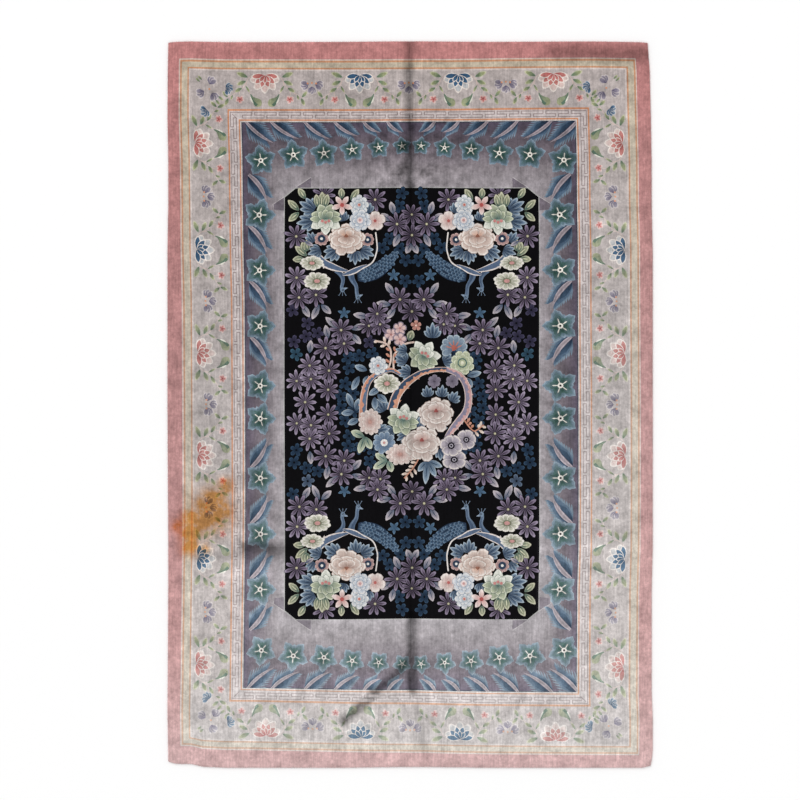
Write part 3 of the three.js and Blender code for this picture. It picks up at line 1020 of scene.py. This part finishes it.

# Painted sheen of the pile's nap: a power below 1 makes the dyes paler, from the far end to the near end
napSheenTable = {"along": (-1370, -900, 0, 900, 1370), "power": (0.55, 0.67, 0.88, 0.98, 1.0),
            "rightwards": -0.07, "band": 1.03, "field": 0.3}
# How far light and washing have greyed the dyes
washTable = {"along": (-1370, -900, 0, 900, 1370), "border": (0.2, 0.12, 0.26, 0.14, 0.02), "band": 0.26,
             "field": 0.3}
# Ochre spill on the left border: centre, reach, strength
stainSpots = [((-748, -398), 72, 1.2), ((-744, -361), 55, 1.0), ((-699, -308), 30, 1.1),
              ((-767, -444), 52, 1.1), ((-695, -402), 34, 0.9), ((-829, -430), 36, 1.2),
              ((-829, -485), 38, 1.3), ((-829, -535), 36, 1.2), ((-868, -455), 30, 0.9),
              ((-774, -542), 22, 0.8), ((-790, -470), 34, 0.9)]


def within(x, y, edge):
    (left, near), _, (right, far), _ = frameCorners(*edge)
    return (x > left) & (x < right) & (y > near) & (y < far)


def napSheenPower(x, y):
    power = np.interp(y, napSheenTable["along"], napSheenTable["power"])
    rightwards = np.where(within(x, y, innerEdge), 0, napSheenTable["rightwards"])
    power = power + rightwards * x / halfWidth * np.cos(np.clip(y / halfLength, -1, 1) * math.pi / 2)
    share = np.where(within(x, y, fieldEdge), napSheenTable["field"],
                     np.where(within(x, y, innerEdge), napSheenTable["band"], 1))
    return 1 + (power - 1) * share


def washShare(x, y):
    border = np.interp(y, washTable["along"], washTable["border"])
    inner = np.where(within(x, y, fieldEdge), washTable["field"], washTable["band"])
    return np.where(within(x, y, innerEdge), inner, border)


foldShadeReach = 0.5    # share of a crease's half width that the painted fold shade and crushed pile darken


# Painted fold shade and crushed pile: darker along the fold lines, paler where the shade is negative, at
# most 1
def foldShadeAt(x, y):
    foldShadeAndCrush = np.zeros_like(x)
    for start, end, _, reach, shade in creases:
        share = np.minimum(lineDistance(x, y, start, end) / (reach * foldShadeReach), 1)
        foldShadeAndCrush += shade * (1 + np.cos(math.pi * share)) / 2
    return np.minimum(foldShadeAndCrush, 1)


def stainAt(x, y):
    stain = np.zeros_like(x)
    for (atX, atY), reach, strength in stainSpots:
        stain = np.maximum(stain, strength * np.exp(-((x - atX) ** 2 + (y - atY) ** 2) / reach ** 2))
    return stain


# How strongly brushing shows in patches: in the band, most at the middle of the far end
brushing = {"border": 0.75, "band": 0.9, "farMiddle": 1.1, "middleReach": 190, "field": 0.12}


def brushedAt(x, y):
    middle = np.exp(-(x / brushing["middleReach"]) ** 2) * (y > 0)
    band = brushing["band"] + brushing["farMiddle"] * middle
    outer = np.where(within(x, y, innerEdge), band, brushing["border"])
    return np.where(within(x, y, fieldEdge), brushing["field"], outer)


def insideLoop(spots, loop):
    inside = np.zeros(len(spots), dtype=bool)
    for (x0, y0), (x1, y1) in zip(loop, np.roll(loop, -1, axis=0)):
        if y0 != y1:
            crosses = (y0 > spots[:, 1]) != (y1 > spots[:, 1])
            inside ^= crosses & (spots[:, 0] < x0 + (spots[:, 1] - y0) * (x1 - x0) / (y1 - y0))
    return inside


# The uppermost shape on each triangle, or -1 off the board. A shape whose triangles don't add up to
# its own area was cut badly, and is tested point by point instead
def topShapes(shapes, points, tris, owners, hole):
    corners = np.array([tuple(point) for point in points])[np.array(tris)]
    sideA, sideB = corners[:, 1] - corners[:, 0], corners[:, 2] - corners[:, 0]
    area = np.abs(sideA[:, 0] * sideB[:, 1] - sideA[:, 1] * sideB[:, 0]) / 2
    triangle = np.repeat(np.arange(len(tris)), [len(owner) for owner in owners])
    owned = np.array([index for owner in owners for index in owner])
    covered = np.bincount(owned, weights=area[triangle], minlength=len(shapes))
    wanted = np.array([loopArea(shape["loop"]) for shape in shapes])
    torn = np.abs(covered - wanted) > 0.03 * wanted + 2
    highest = np.full(len(tris), -1)
    sound = ~torn[owned]
    np.maximum.at(highest, triangle[sound], owned[sound])
    middles = corners.mean(axis=1)
    for index in np.nonzero(torn)[0]:
        inside = insideLoop(middles, shapes[index]["loop"])
        highest[inside] = np.maximum(highest[inside], index)
    print("shapes cut:", len(shapes), "tested point by point:", int(torn.sum()))
    outside = ~insideLoop(middles, shapes[0]["loop"])
    if hole:
        outside |= insideLoop(middles, shapes[-1]["loop"])
    highest[outside] = -1
    return highest


# Cuts a board's shapes against each other, keeps what shows, and lays grid points between
def cutShapes(shapes, hole):
    verts, rings = [], []
    for shape in shapes:
        rings.append(list(range(len(verts), len(verts) + len(shape["loop"]))))
        verts += [Vector(corner) for corner in shape["loop"]]
    points, _, tris, _, _, owners = delaunay_2d_cdt(verts, [], rings, 1, 0.02, True)
    highest = topShapes(shapes, points, tris, owners, hole)
    top = {}
    for tri, shape in zip(tris, highest.tolist()):
        if shape >= 0:
            for a, b in zip(tri, (*tri[1:], tri[0])):
                top[a, b] = shape
    seams = [(a, b) for (a, b), shape in top.items()
             if top.get((b, a), -1) != shape and (a < b or (b, a) not in top)]
    used = sorted({corner for seam in seams for corner in seam})
    order = {corner: index for index, corner in enumerate(used)}
    kept = [points[corner] for corner in used]
    box = np.array([tuple(point) for point in kept])
    across = np.arange(box[:, 0].min() + rug["grid"] / 2, box[:, 0].max(), rug["grid"])
    along = np.arange(box[:, 1].min() + rug["grid"] / 2, box[:, 1].max(), rug["grid"])
    for x in across:
        for y in along:
            if not hole or not within(x, y, innerEdge):
                kept.append(Vector((x, y)))
    lines = [(order[a], order[b]) for a, b in seams]
    spots, edges, faces, _, origins, _ = delaunay_2d_cdt(kept, lines, [], 0, 0.005, True)
    beside = {}
    for (i, j), sources in zip(edges, origins):
        if sources:
            a, b = seams[sources[0]]
            if (spots[j] - spots[i]).dot(points[b] - points[a]) < 0:
                a, b = b, a
            beside[i, j] = top.get((a, b), -1)
            beside[j, i] = top.get((b, a), -1)
    return spots, faces, beside


# Gives every face the shape it belongs to, spreading from the seams
def ownFaces(faces, beside):
    faceAt = {}
    for index, face in enumerate(faces):
        for a, b in zip(face, (*face[1:], face[0])):
            faceAt[a, b] = index
    shapeOf = [None] * len(faces)
    waiting = []
    for edge, shape in beside.items():
        index = faceAt.get(edge)
        if index is not None and shapeOf[index] is None:
            shapeOf[index] = shape
            waiting.append(index)
    while waiting:
        index = waiting.pop()
        face = faces[index]
        for a, b in zip(face, (*face[1:], face[0])):
            other = faceAt.get((b, a))
            if (a, b) not in beside and other is not None and shapeOf[other] is None:
                shapeOf[other] = shapeOf[index]
                waiting.append(other)
    return shapeOf


def dyeCorners(shapes, shapeOf, corners):
    near, far, start, end = (np.array([shape[key] for shape in shapes])[shapeOf][:, None]
                             for key in ("near", "far", "start", "end"))
    run = end - start
    share = ((corners - start) * run).sum(-1) / np.maximum((run ** 2).sum(-1), 1e-9)
    dye = near + (far - near) * np.clip(share, 0, 1)[..., None]
    x, y = corners[..., 0], corners[..., 1]
    band = np.array([shape["graded"] for shape in shapes])[shapeOf]
    dye[band] = bandTone(x[band].ravel(), y[band].ravel()).reshape(-1, 3, 3)
    grey = (dye * (0.21, 0.72, 0.07)).sum(-1, keepdims=True)
    dye += (grey - dye) * washShare(x, y)[..., None]
    # The painted nap sheen pales the dyes towards the near end
    return np.clip(dye, 0, 1) ** napSheenPower(x, y)[..., None]


# Where the dyed face, the sides and the back lie in the bake square
bakeRows = {"margin": 0.004, "face": 0.926, "sides": (0.94, 0.955), "back": (0.965, 0.03)}


# A closed mesh of an area of one board: the dyed face, the sides, and the plain face behind it
def weave(name, board, area, faceHeight, backHeight, hole=None):
    low, high = np.min(area, axis=0), np.max(area, axis=0)
    shapes = [dict(board[0], loop=np.array(area))]
    for shape in board[1:]:
        if (shape["loop"].max(axis=0) > low).all() and (shape["loop"].min(axis=0) < high).all():
            shapes.append(shape)
    if hole:
        shapes.append(dict(board[0], loop=np.array(hole)))
    spots, faces, beside = cutShapes(shapes, hole)
    shapeOf = ownFaces(faces, beside)
    keep = [index for index, shape in enumerate(shapeOf) if shape is not None and shape >= 0]
    tris = np.array([faces[index] for index in keep])
    shapeOf = np.array([shapeOf[index] for index in keep])
    used, tris = np.unique(tris, return_inverse=True)
    tris = tris.reshape(-1, 3)
    flat = np.array([tuple(spots[index]) for index in used])
    dye = dyeCorners(shapes, shapeOf, flat[tris])

    # The rug's uneven outline, and each layer carved a little above the one around it
    x, y = toOutline(flat[:, 0], flat[:, 1])
    layer = np.full(len(flat), 9.0)
    for corner in range(3):
        np.minimum.at(layer, tris[:, corner],
                      np.array([shape["layer"] for shape in shapes], float)[shapeOf])
    height = faceHeight(x, y, flat[:, 0], flat[:, 1], layer)

    # Sides hang from the open edges
    ring = {}
    for a, b in tris[:, [0, 1, 1, 2, 2, 0]].reshape(-1, 2).tolist():
        ring[a, b] = True
    rim = [edge for edge in ring if edge[::-1] not in ring]
    rimCorners = sorted({corner for edge in rim for corner in edge})
    below = {corner: len(flat) + index for index, corner in enumerate(rimCorners)}
    sides = [(below[a], below[b], b, a) for a, b in rim]
    backFaces = plainBack(flat, rim, below)

    count = len(flat)
    places = np.zeros((count + len(rimCorners), 3))
    places[:count] = np.stack([x, y, height], axis=1)
    places[count:] = np.stack([x[rimCorners], y[rimCorners], np.full(len(rimCorners), backHeight)], axis=1)
    polygons = [*map(tuple, tris.tolist()), *sides, *backFaces]
    if height.max() <= backHeight:
        polygons = [face[::-1] for face in polygons]
    mesh = bpy.data.meshes.new(name)
    mesh.from_pydata((places * mm).tolist(), [], polygons)

    # Dye for every corner; a side or back corner takes the dye of the pile above it
    atPoint = np.zeros((count + len(rimCorners), 3))
    atPoint[tris.ravel()] = dye.reshape(-1, 3)
    atPoint[count:] = atPoint[rimCorners]
    loops = np.zeros(len(mesh.loops), dtype=np.int32)
    mesh.loops.foreach_get("vertex_index", loops)
    colours = np.ones((len(loops), 4))
    colours[:, :3] = atPoint[loops]
    faceDye = dye if height.max() > backHeight else dye[:, ::-1]
    colours[:3 * len(tris), :3] = faceDye.reshape(-1, 3)
    mesh.color_attributes.new("dye", "FLOAT_COLOR", "CORNER").data.foreach_set("color", colours.ravel())
    # Per point: the painted fold shade with the crushed pile, the stain, and the brushing
    for label, rule in (("foldShadeAndCrush", foldShadeAt), ("stain", stainAt), ("brushed", brushedAt)):
        values = rule(places[:, 0], places[:, 1])
        mesh.attributes.new(label, "FLOAT", "POINT").data.foreach_set("value", values)

    # Bake layout: the dyed face over most of the square, sides and back in strips above it
    low, high = places[:, :2].min(axis=0), places[:, :2].max(axis=0)
    even = (places[loops, :2] - low) / (high - low)
    margin = bakeRows["margin"]
    layout = margin + even * (1 - 2 * margin, bakeRows["face"])
    firstSide, firstBack = 3 * len(tris), 3 * len(tris) + 4 * len(sides)
    step = np.arange(len(sides))
    quad = np.zeros((len(sides), 4, 2))
    quad[:, :, 0] = ((step[:, None] + np.array([0.05, 0.95, 0.95, 0.05])) / len(sides)) * 0.99 + 0.005
    bottom, top = bakeRows["sides"]
    quad[:, :, 1] = (bottom, bottom, top, top)
    layout[firstSide:firstBack] = quad.reshape(-1, 2)
    backStart, backDepth = bakeRows["back"]
    layout[firstBack:, 1] = backStart + even[firstBack:, 1] * backDepth
    mesh.uv_layers.new(name="OFBake").data.foreach_set("uv", layout.ravel())
    smooth = np.zeros(len(mesh.polygons), dtype=bool)
    smooth[:len(tris)] = True
    mesh.polygons.foreach_set("use_smooth", smooth)
    mesh.update()
    piece = bpy.data.objects.new(name, mesh)
    bpy.context.collection.objects.link(piece)
    print("wove", name, len(tris), "pile faces,", len(tris) + 2 * len(sides) + len(backFaces), "triangles")
    return piece


# Plain triangles across the back, between the rings of open edges
def plainBack(flat, rim, below):
    corners = sorted(below)
    order = {corner: index for index, corner in enumerate(corners)}
    spots = [Vector(flat[corner]) for corner in corners]
    lines = [(order[a], order[b]) for a, b in rim]
    _, _, faces, _, _, _ = delaunay_2d_cdt(spots, lines, [], 0, 0.001, True)
    beside = {}
    for a, b in lines:
        beside[a, b] = 1
        beside[b, a] = -1
    inside = ownFaces(faces, beside)
    return [tuple(below[corners[index]] for index in face[::-1])
            for face, shape in zip(faces, inside) if shape == 1]


def pileFace(x, y, evenX, evenY, layer):
    return pileTop(x, y, evenX, evenY) + rug["carving"] * layer


def flatUnder(x, y, evenX, evenY, layer):
    return np.zeros_like(x)


wholeRug = frameCorners(0, 0, 0, 0, step=rug["grid"])
innerFrame = frameCorners(*innerEdge, step=rug["grid"])
borderPile = weave("rug_pile_border", boards["border"], wholeRug, pileFace, rug["foundation"], innerFrame)
# The centre is woven in two halves that meet on the centre fold, to keep each mesh small
(left, near), _, (right, far), _ = frameCorners(*innerEdge)
foldX = 4
halves = {"left": (left, foldX), "right": (foldX, right)}
centrePiles = []
for side, (start, end) in halves.items():
    area = stepped([(start, near), (end, near), (end, far), (start, far)], rug["grid"])
    centrePiles.append(weave("rug_pile_centre_" + side, boards["centre"], area, pileFace,
                             rug["foundation"]))

# Foundation: the knots show on the back as flat dyed patches, so the larger shapes go there too
groundLeast, overlaidLeast = rug["smallestBackPatch"]
backShapes = []
for shape in boards["border"] + boards["centre"]:
    least = overlaidLeast if shape["layer"] > 0 else groundLeast
    if shape["layer"] >= 0 and loopArea(shape["loop"]) > least:
        backShapes.append(shape)
foundation = weave("rug_foundation", backShapes, wholeRug, flatUnder, rug["foundation"])

# Short silk ends that stand out along the rim
rimTufts = {"spacing": 2.6, "length": (2.0, 5.0), "width": 1.1, "height": (3.2, 5.6), "lean": 1.6,
            "rootDepth": 1.5, "droop": 0.35}


def weaveTufts():
    corners, faces = [], []
    ring = stepped(frameCorners(0, 0, 0, 0), rimTufts["spacing"])
    for index, (evenX, evenY) in enumerate(ring):
        beforeX, beforeY = ring[index - 1]
        size = math.hypot(evenX - beforeX, evenY - beforeY)
        alongX, alongY = (evenX - beforeX) / size, (evenY - beforeY) / size
        outX, outY = alongY, -alongX
        x, y = (float(value) for value in toOutline(evenX, evenY))
        reach, height = random.uniform(*rimTufts["length"]), random.uniform(*rimTufts["height"])
        lean, half = random.uniform(-rimTufts["lean"], rimTufts["lean"]), rimTufts["width"] / 2
        depth, droop = rimTufts["rootDepth"], rimTufts["droop"]
        root = len(corners)
        for side, lift in ((-half, -0.5), (half, -0.5), (0, 0.6)):
            corners.append((x + alongX * side - outX * depth, y + alongY * side - outY * depth,
                            height + lift))
        corners.append((x + outX * reach + alongX * lean, y + outY * reach + alongY * lean,
                        height - reach * droop))
        faces += [(root, root + 2, root + 1), (root, root + 1, root + 3), (root + 1, root + 2, root + 3),
                  (root + 2, root, root + 3)]
    mesh = bpy.data.meshes.new("rug_rim_tufts")
    mesh.from_pydata((np.array(corners) * mm).tolist(), [], faces)
    places = np.array(corners)
    # The tufts take the edge dye with the same painted nap sheen
    tone = np.array(linear(bands[0][0]))[None, :] ** napSheenPower(places[:, 0], places[:, 1])[:, None]
    loops = np.array(faces).ravel()
    colours = np.ones((len(loops), 4))
    colours[:, :3] = tone[loops]
    mesh.color_attributes.new("dye", "FLOAT_COLOR", "CORNER").data.foreach_set("color", colours.ravel())
    stain = stainAt(places[:, 0], places[:, 1])
    for label, values in (("foldShadeAndCrush", stain * 0), ("stain", stain), ("brushed", stain * 0)):
        mesh.attributes.new(label, "FLOAT", "POINT").data.foreach_set("value", values)
    piece = bpy.data.objects.new("rug_rim_tufts", mesh)
    bpy.context.collection.objects.link(piece)
    print("rim tufts:", len(faces), "triangles")
    return piece


rimPile = weaveTufts()


# Adds a node with its settings, values and links
def addNode(tree, kind, inputs=None, **settings):
    made = tree.nodes.new(kind)
    for key, value in settings.items():
        setattr(made, key, value)
    for socket, value in (inputs or {}).items():
        if isinstance(value, bpy.types.NodeSocket):
            tree.links.new(value, made.inputs[socket])
        else:
            made.inputs[socket].default_value = value
    return made


def newMaterial(name):
    material = bpy.data.materials.new(name)
    material.use_nodes = True
    tree = material.node_tree
    return material, tree, tree.nodes["Principled BSDF"]


# Cut silk pile, hand-knotted and clipped. The eye gets a soft, slightly mottled dye that brushing
# leaves lighter and darker in patches and fine streaks, with a low sheen and no hard highlight.
silk = {  # sizes in mm
    # size, swing and detail of each unevenness
    "grain": [(260, 0.22, 2.0), (12, 0.62, 2.0), (4, 0.36, 1.0)], "patch": 50, "patchSwing": 1.6,
    "streak": (6, 75), "streakSwing": 0.6, "foldShadeBlotch": 30, "spill": 35,
    "rowPitch": 2.7,       # knot rows
    "foldShadeSwing": (-0.35, -0.95), "spillSwing": (-0.2, 2.4), "spillMost": 0.95,
    "stain": "#f0b163", "roughness": 0.74, "glossSwing": 0.06, "specular": 0.04,
}


def silkPile():
    material, tree, shader = newMaterial("cut_silk_pile")
    place = addNode(tree, "ShaderNodeTexCoord").outputs["Object"]
    dye, foldShadeAndCrush, stain, brushed = (addNode(tree, "ShaderNodeAttribute", attribute_name=label)
                                 for label in ("dye", "foldShadeAndCrush", "stain", "brushed"))

    # Each unevenness swings about 1, so the dyes keep their mean
    wide, long = silk["streak"]
    stretched = addNode(tree, "ShaderNodeMapping",
                        {"Vector": place, "Scale": (1 / wide / mm, 1 / long / mm, 1)})
    streak = addNode(tree, "ShaderNodeTexNoise", {"Vector": stretched.outputs[0], "Scale": 1.0}).outputs[0]
    low, high = 1 - silk["streakSwing"] / 2, 1 + silk["streakSwing"] / 2
    tone = addNode(tree, "ShaderNodeMapRange", {"Value": streak, "To Min": low, "To Max": high}).outputs[0]
    for size, swing, detail in silk["grain"]:
        grain = addNode(tree, "ShaderNodeTexNoise",
                        {"Vector": place, "Scale": 1 / size / mm, "Detail": detail}).outputs[0]
        term = addNode(tree, "ShaderNodeMapRange",
                       {"Value": grain, "To Min": 1 - swing / 2, "To Max": 1 + swing / 2})
        tone = addNode(tree, "ShaderNodeMath", {0: tone, 1: term.outputs[0]},
                       operation="MULTIPLY").outputs[0]
    patch = addNode(tree, "ShaderNodeTexNoise", {
        "Vector": place, "Scale": 1 / silk["patch"] / mm, "Detail": 4.0, "Roughness": 0.62})
    swing = silk["patchSwing"]
    patch = addNode(tree, "ShaderNodeMapRange",
                    {"Value": patch.outputs[0], "To Min": -swing / 2, "To Max": swing / 2})
    patch = addNode(tree, "ShaderNodeMath", {0: patch.outputs[0], 1: brushed.outputs["Fac"], 2: 1.0},
                    operation="MULTIPLY_ADD")
    tone = addNode(tree, "ShaderNodeMath", {0: tone, 1: patch.outputs[0]}, operation="MULTIPLY").outputs[0]

    # Painted fold shade and crushed pile: darker on the folds, in blotches
    blotch = addNode(tree, "ShaderNodeTexNoise", {
        "Vector": place, "Scale": 1 / silk["foldShadeBlotch"] / mm, "Detail": 4.0, "Roughness": 0.65})
    least, most = silk["foldShadeSwing"]
    blotch = addNode(tree, "ShaderNodeMapRange",
                     {"Value": blotch.outputs[0], "To Min": least, "To Max": most})
    foldShaded = addNode(tree, "ShaderNodeMath", {0: blotch.outputs[0], 1: foldShadeAndCrush.outputs["Fac"], 2: 1.0},
                      operation="MULTIPLY_ADD")
    tone = addNode(tree, "ShaderNodeMath", {0: tone, 1: foldShaded.outputs[0]},
                   operation="MULTIPLY").outputs[0]
    toned = addNode(tree, "ShaderNodeVectorMath", {0: dye.outputs["Color"], "Scale": tone},
                    operation="SCALE").outputs[0]

    # The spill has a ragged edge
    spill = addNode(tree, "ShaderNodeTexNoise", {
        "Vector": place, "Scale": 1 / silk["spill"] / mm, "Detail": 5.0, "Roughness": 0.65})
    least, most = silk["spillSwing"]
    spill = addNode(tree, "ShaderNodeMapRange",
                    {"Value": spill.outputs[0], "To Min": least, "To Max": most})
    spill = addNode(tree, "ShaderNodeMath", {0: spill.outputs[0], 1: stain.outputs["Fac"]},
                    operation="MULTIPLY")
    spill = addNode(tree, "ShaderNodeClamp",
                    {"Value": spill.outputs[0], "Max": silk["spillMost"]}).outputs[0]
    ochre = (*linear(silk["stain"]), 1)
    spilled = addNode(tree, "ShaderNodeMix", {0: spill, 6: toned, 7: ochre}, data_type="RGBA",
                      blend_type="MULTIPLY").outputs[2]
    tree.links.new(spilled, shader.inputs["Base Color"])

    # Knot rows and streaks of pile in low relief
    rows = addNode(tree, "ShaderNodeTexWave", {
        "Vector": place, "Scale": 0.314 / silk["rowPitch"] / mm, "Distortion": 1.2, "Detail": 1.0,
    }, bands_direction="Y").outputs["Fac"]
    relief = addNode(tree, "ShaderNodeMath", {0: streak, 1: 1.3, 2: rows},
                     operation="MULTIPLY_ADD").outputs[0]
    relief = addNode(tree, "ShaderNodeMath", {0: grain, 1: 1.2, 2: relief},
                     operation="MULTIPLY_ADD").outputs[0]
    bump = addNode(tree, "ShaderNodeBump", {"Height": relief, "Strength": 0.5, "Distance": 0.6 * mm})
    tree.links.new(bump.outputs[0], shader.inputs["Normal"])
    gloss = addNode(tree, "ShaderNodeMapRange", {
        "Value": streak, "To Min": silk["roughness"] - silk["glossSwing"],
        "To Max": silk["roughness"] + silk["glossSwing"]})
    tree.links.new(gloss.outputs[0], shader.inputs["Roughness"])
    shader.inputs["Specular IOR Level"].default_value = silk["specular"]
    return material


# Cotton foundation with the knots beaten down flat: matt, the dyes a little paler, ribbed by its warps
def knottedBack():
    material, tree, shader = newMaterial("cotton_foundation_knotted_back")
    place = addNode(tree, "ShaderNodeTexCoord").outputs["Object"]
    dye = addNode(tree, "ShaderNodeAttribute", attribute_name="dye").outputs["Color"]
    cotton = (*linear("#c9beaf"), 1)
    warps = addNode(tree, "ShaderNodeTexWave", {
        "Vector": place, "Scale": 0.314 / silk["rowPitch"] / mm, "Distortion": 0.6},
        bands_direction="X").outputs["Fac"]
    share = addNode(tree, "ShaderNodeMapRange", {"Value": warps, "To Min": 0.08, "To Max": 0.38}).outputs[0]
    mixed = addNode(tree, "ShaderNodeMix", {0: share, 6: dye, 7: cotton}, data_type="RGBA").outputs[2]
    tree.links.new(mixed, shader.inputs["Base Color"])
    bump = addNode(tree, "ShaderNodeBump",
                   {"Height": warps, "Strength": 0.5, "Distance": 0.8 * mm}).outputs["Normal"]
    tree.links.new(bump, shader.inputs["Normal"])
    shader.inputs["Roughness"].default_value = 0.92
    shader.inputs["Specular IOR Level"].default_value = 0.15
    return material


pileMaterial = silkPile()
pilePieces = [borderPile, *centrePiles, rimPile]
for piece in pilePieces:
    piece.data.materials.append(pileMaterial)
foundation.data.materials.append(knottedBack())
for piece in (foundation, *pilePieces):
    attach(piece, "root")
    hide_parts("rug")
print("rug dressed")

# Plain pale floor
floorMesh = bpy.data.meshes.new("floor")
reach, level = 20, -0.0004
floorMesh.from_pydata([(-reach, -reach, level), (reach, -reach, level), (reach, reach, level),
                       (-reach, reach, level)],
                      [], [(0, 1, 2, 3)])
floor = bpy.data.objects.new("floor", floorMesh)
bpy.context.collection.objects.link(floor)
floorMaterial, floorTree, floorShader = newMaterial("matt_white_studio_floor")
speck = addNode(floorTree, "ShaderNodeTexNoise", {"Scale": 3.0}).outputs["Fac"]
white, offWhite = (*linear("#ffffff"), 1), (*linear("#fcfcfc"), 1)
paint = addNode(floorTree, "ShaderNodeMix", {0: speck, 6: white, 7: offWhite}, data_type="RGBA")
floorTree.links.new(paint.outputs[2], floorShader.inputs["Base Color"])
floorShader.inputs["Roughness"].default_value = 0.9
floorMesh.materials.append(floorMaterial)

# Even studio light: a white surround and one broad soft sun from the far left
studio = {"surround": 0.8, "sun": 0.95, "sunTurn": (38, -28), "sunSoft": 40}
scene = bpy.context.scene
scene.view_settings.view_transform = "Standard"
world = bpy.data.worlds.new("studio_surround")
scene.world = world
world.use_nodes = True
world.node_tree.nodes["Background"].inputs["Color"].default_value = (1, 1, 1, 1)
world.node_tree.nodes["Background"].inputs["Strength"].default_value = studio["surround"]
sunData = bpy.data.lights.new("soft_sun", "SUN")
sunData.energy = studio["sun"]
sunData.angle = math.radians(studio["sunSoft"])
sun = bpy.data.objects.new("soft_sun", sunData)
sun.rotation_euler = (math.radians(-studio["sunTurn"][0]), math.radians(studio["sunTurn"][1]), 0)
bpy.context.collection.objects.link(sun)

# The photograph looks straight down
view = {"height": 9.0, "frameWidth": 3.021, "middle": (-0.038, 0.017), "sensor": 36.0}
cameraData = bpy.data.cameras.new("camera")
cameraData.sensor_width = view["sensor"]
cameraData.lens = view["sensor"] * view["height"] / view["frameWidth"]
cameraData.clip_end = 100
camera = bpy.data.objects.new("camera", cameraData)
camera.location = (*view["middle"], view["height"])
bpy.context.collection.objects.link(camera)
scene.camera = camera
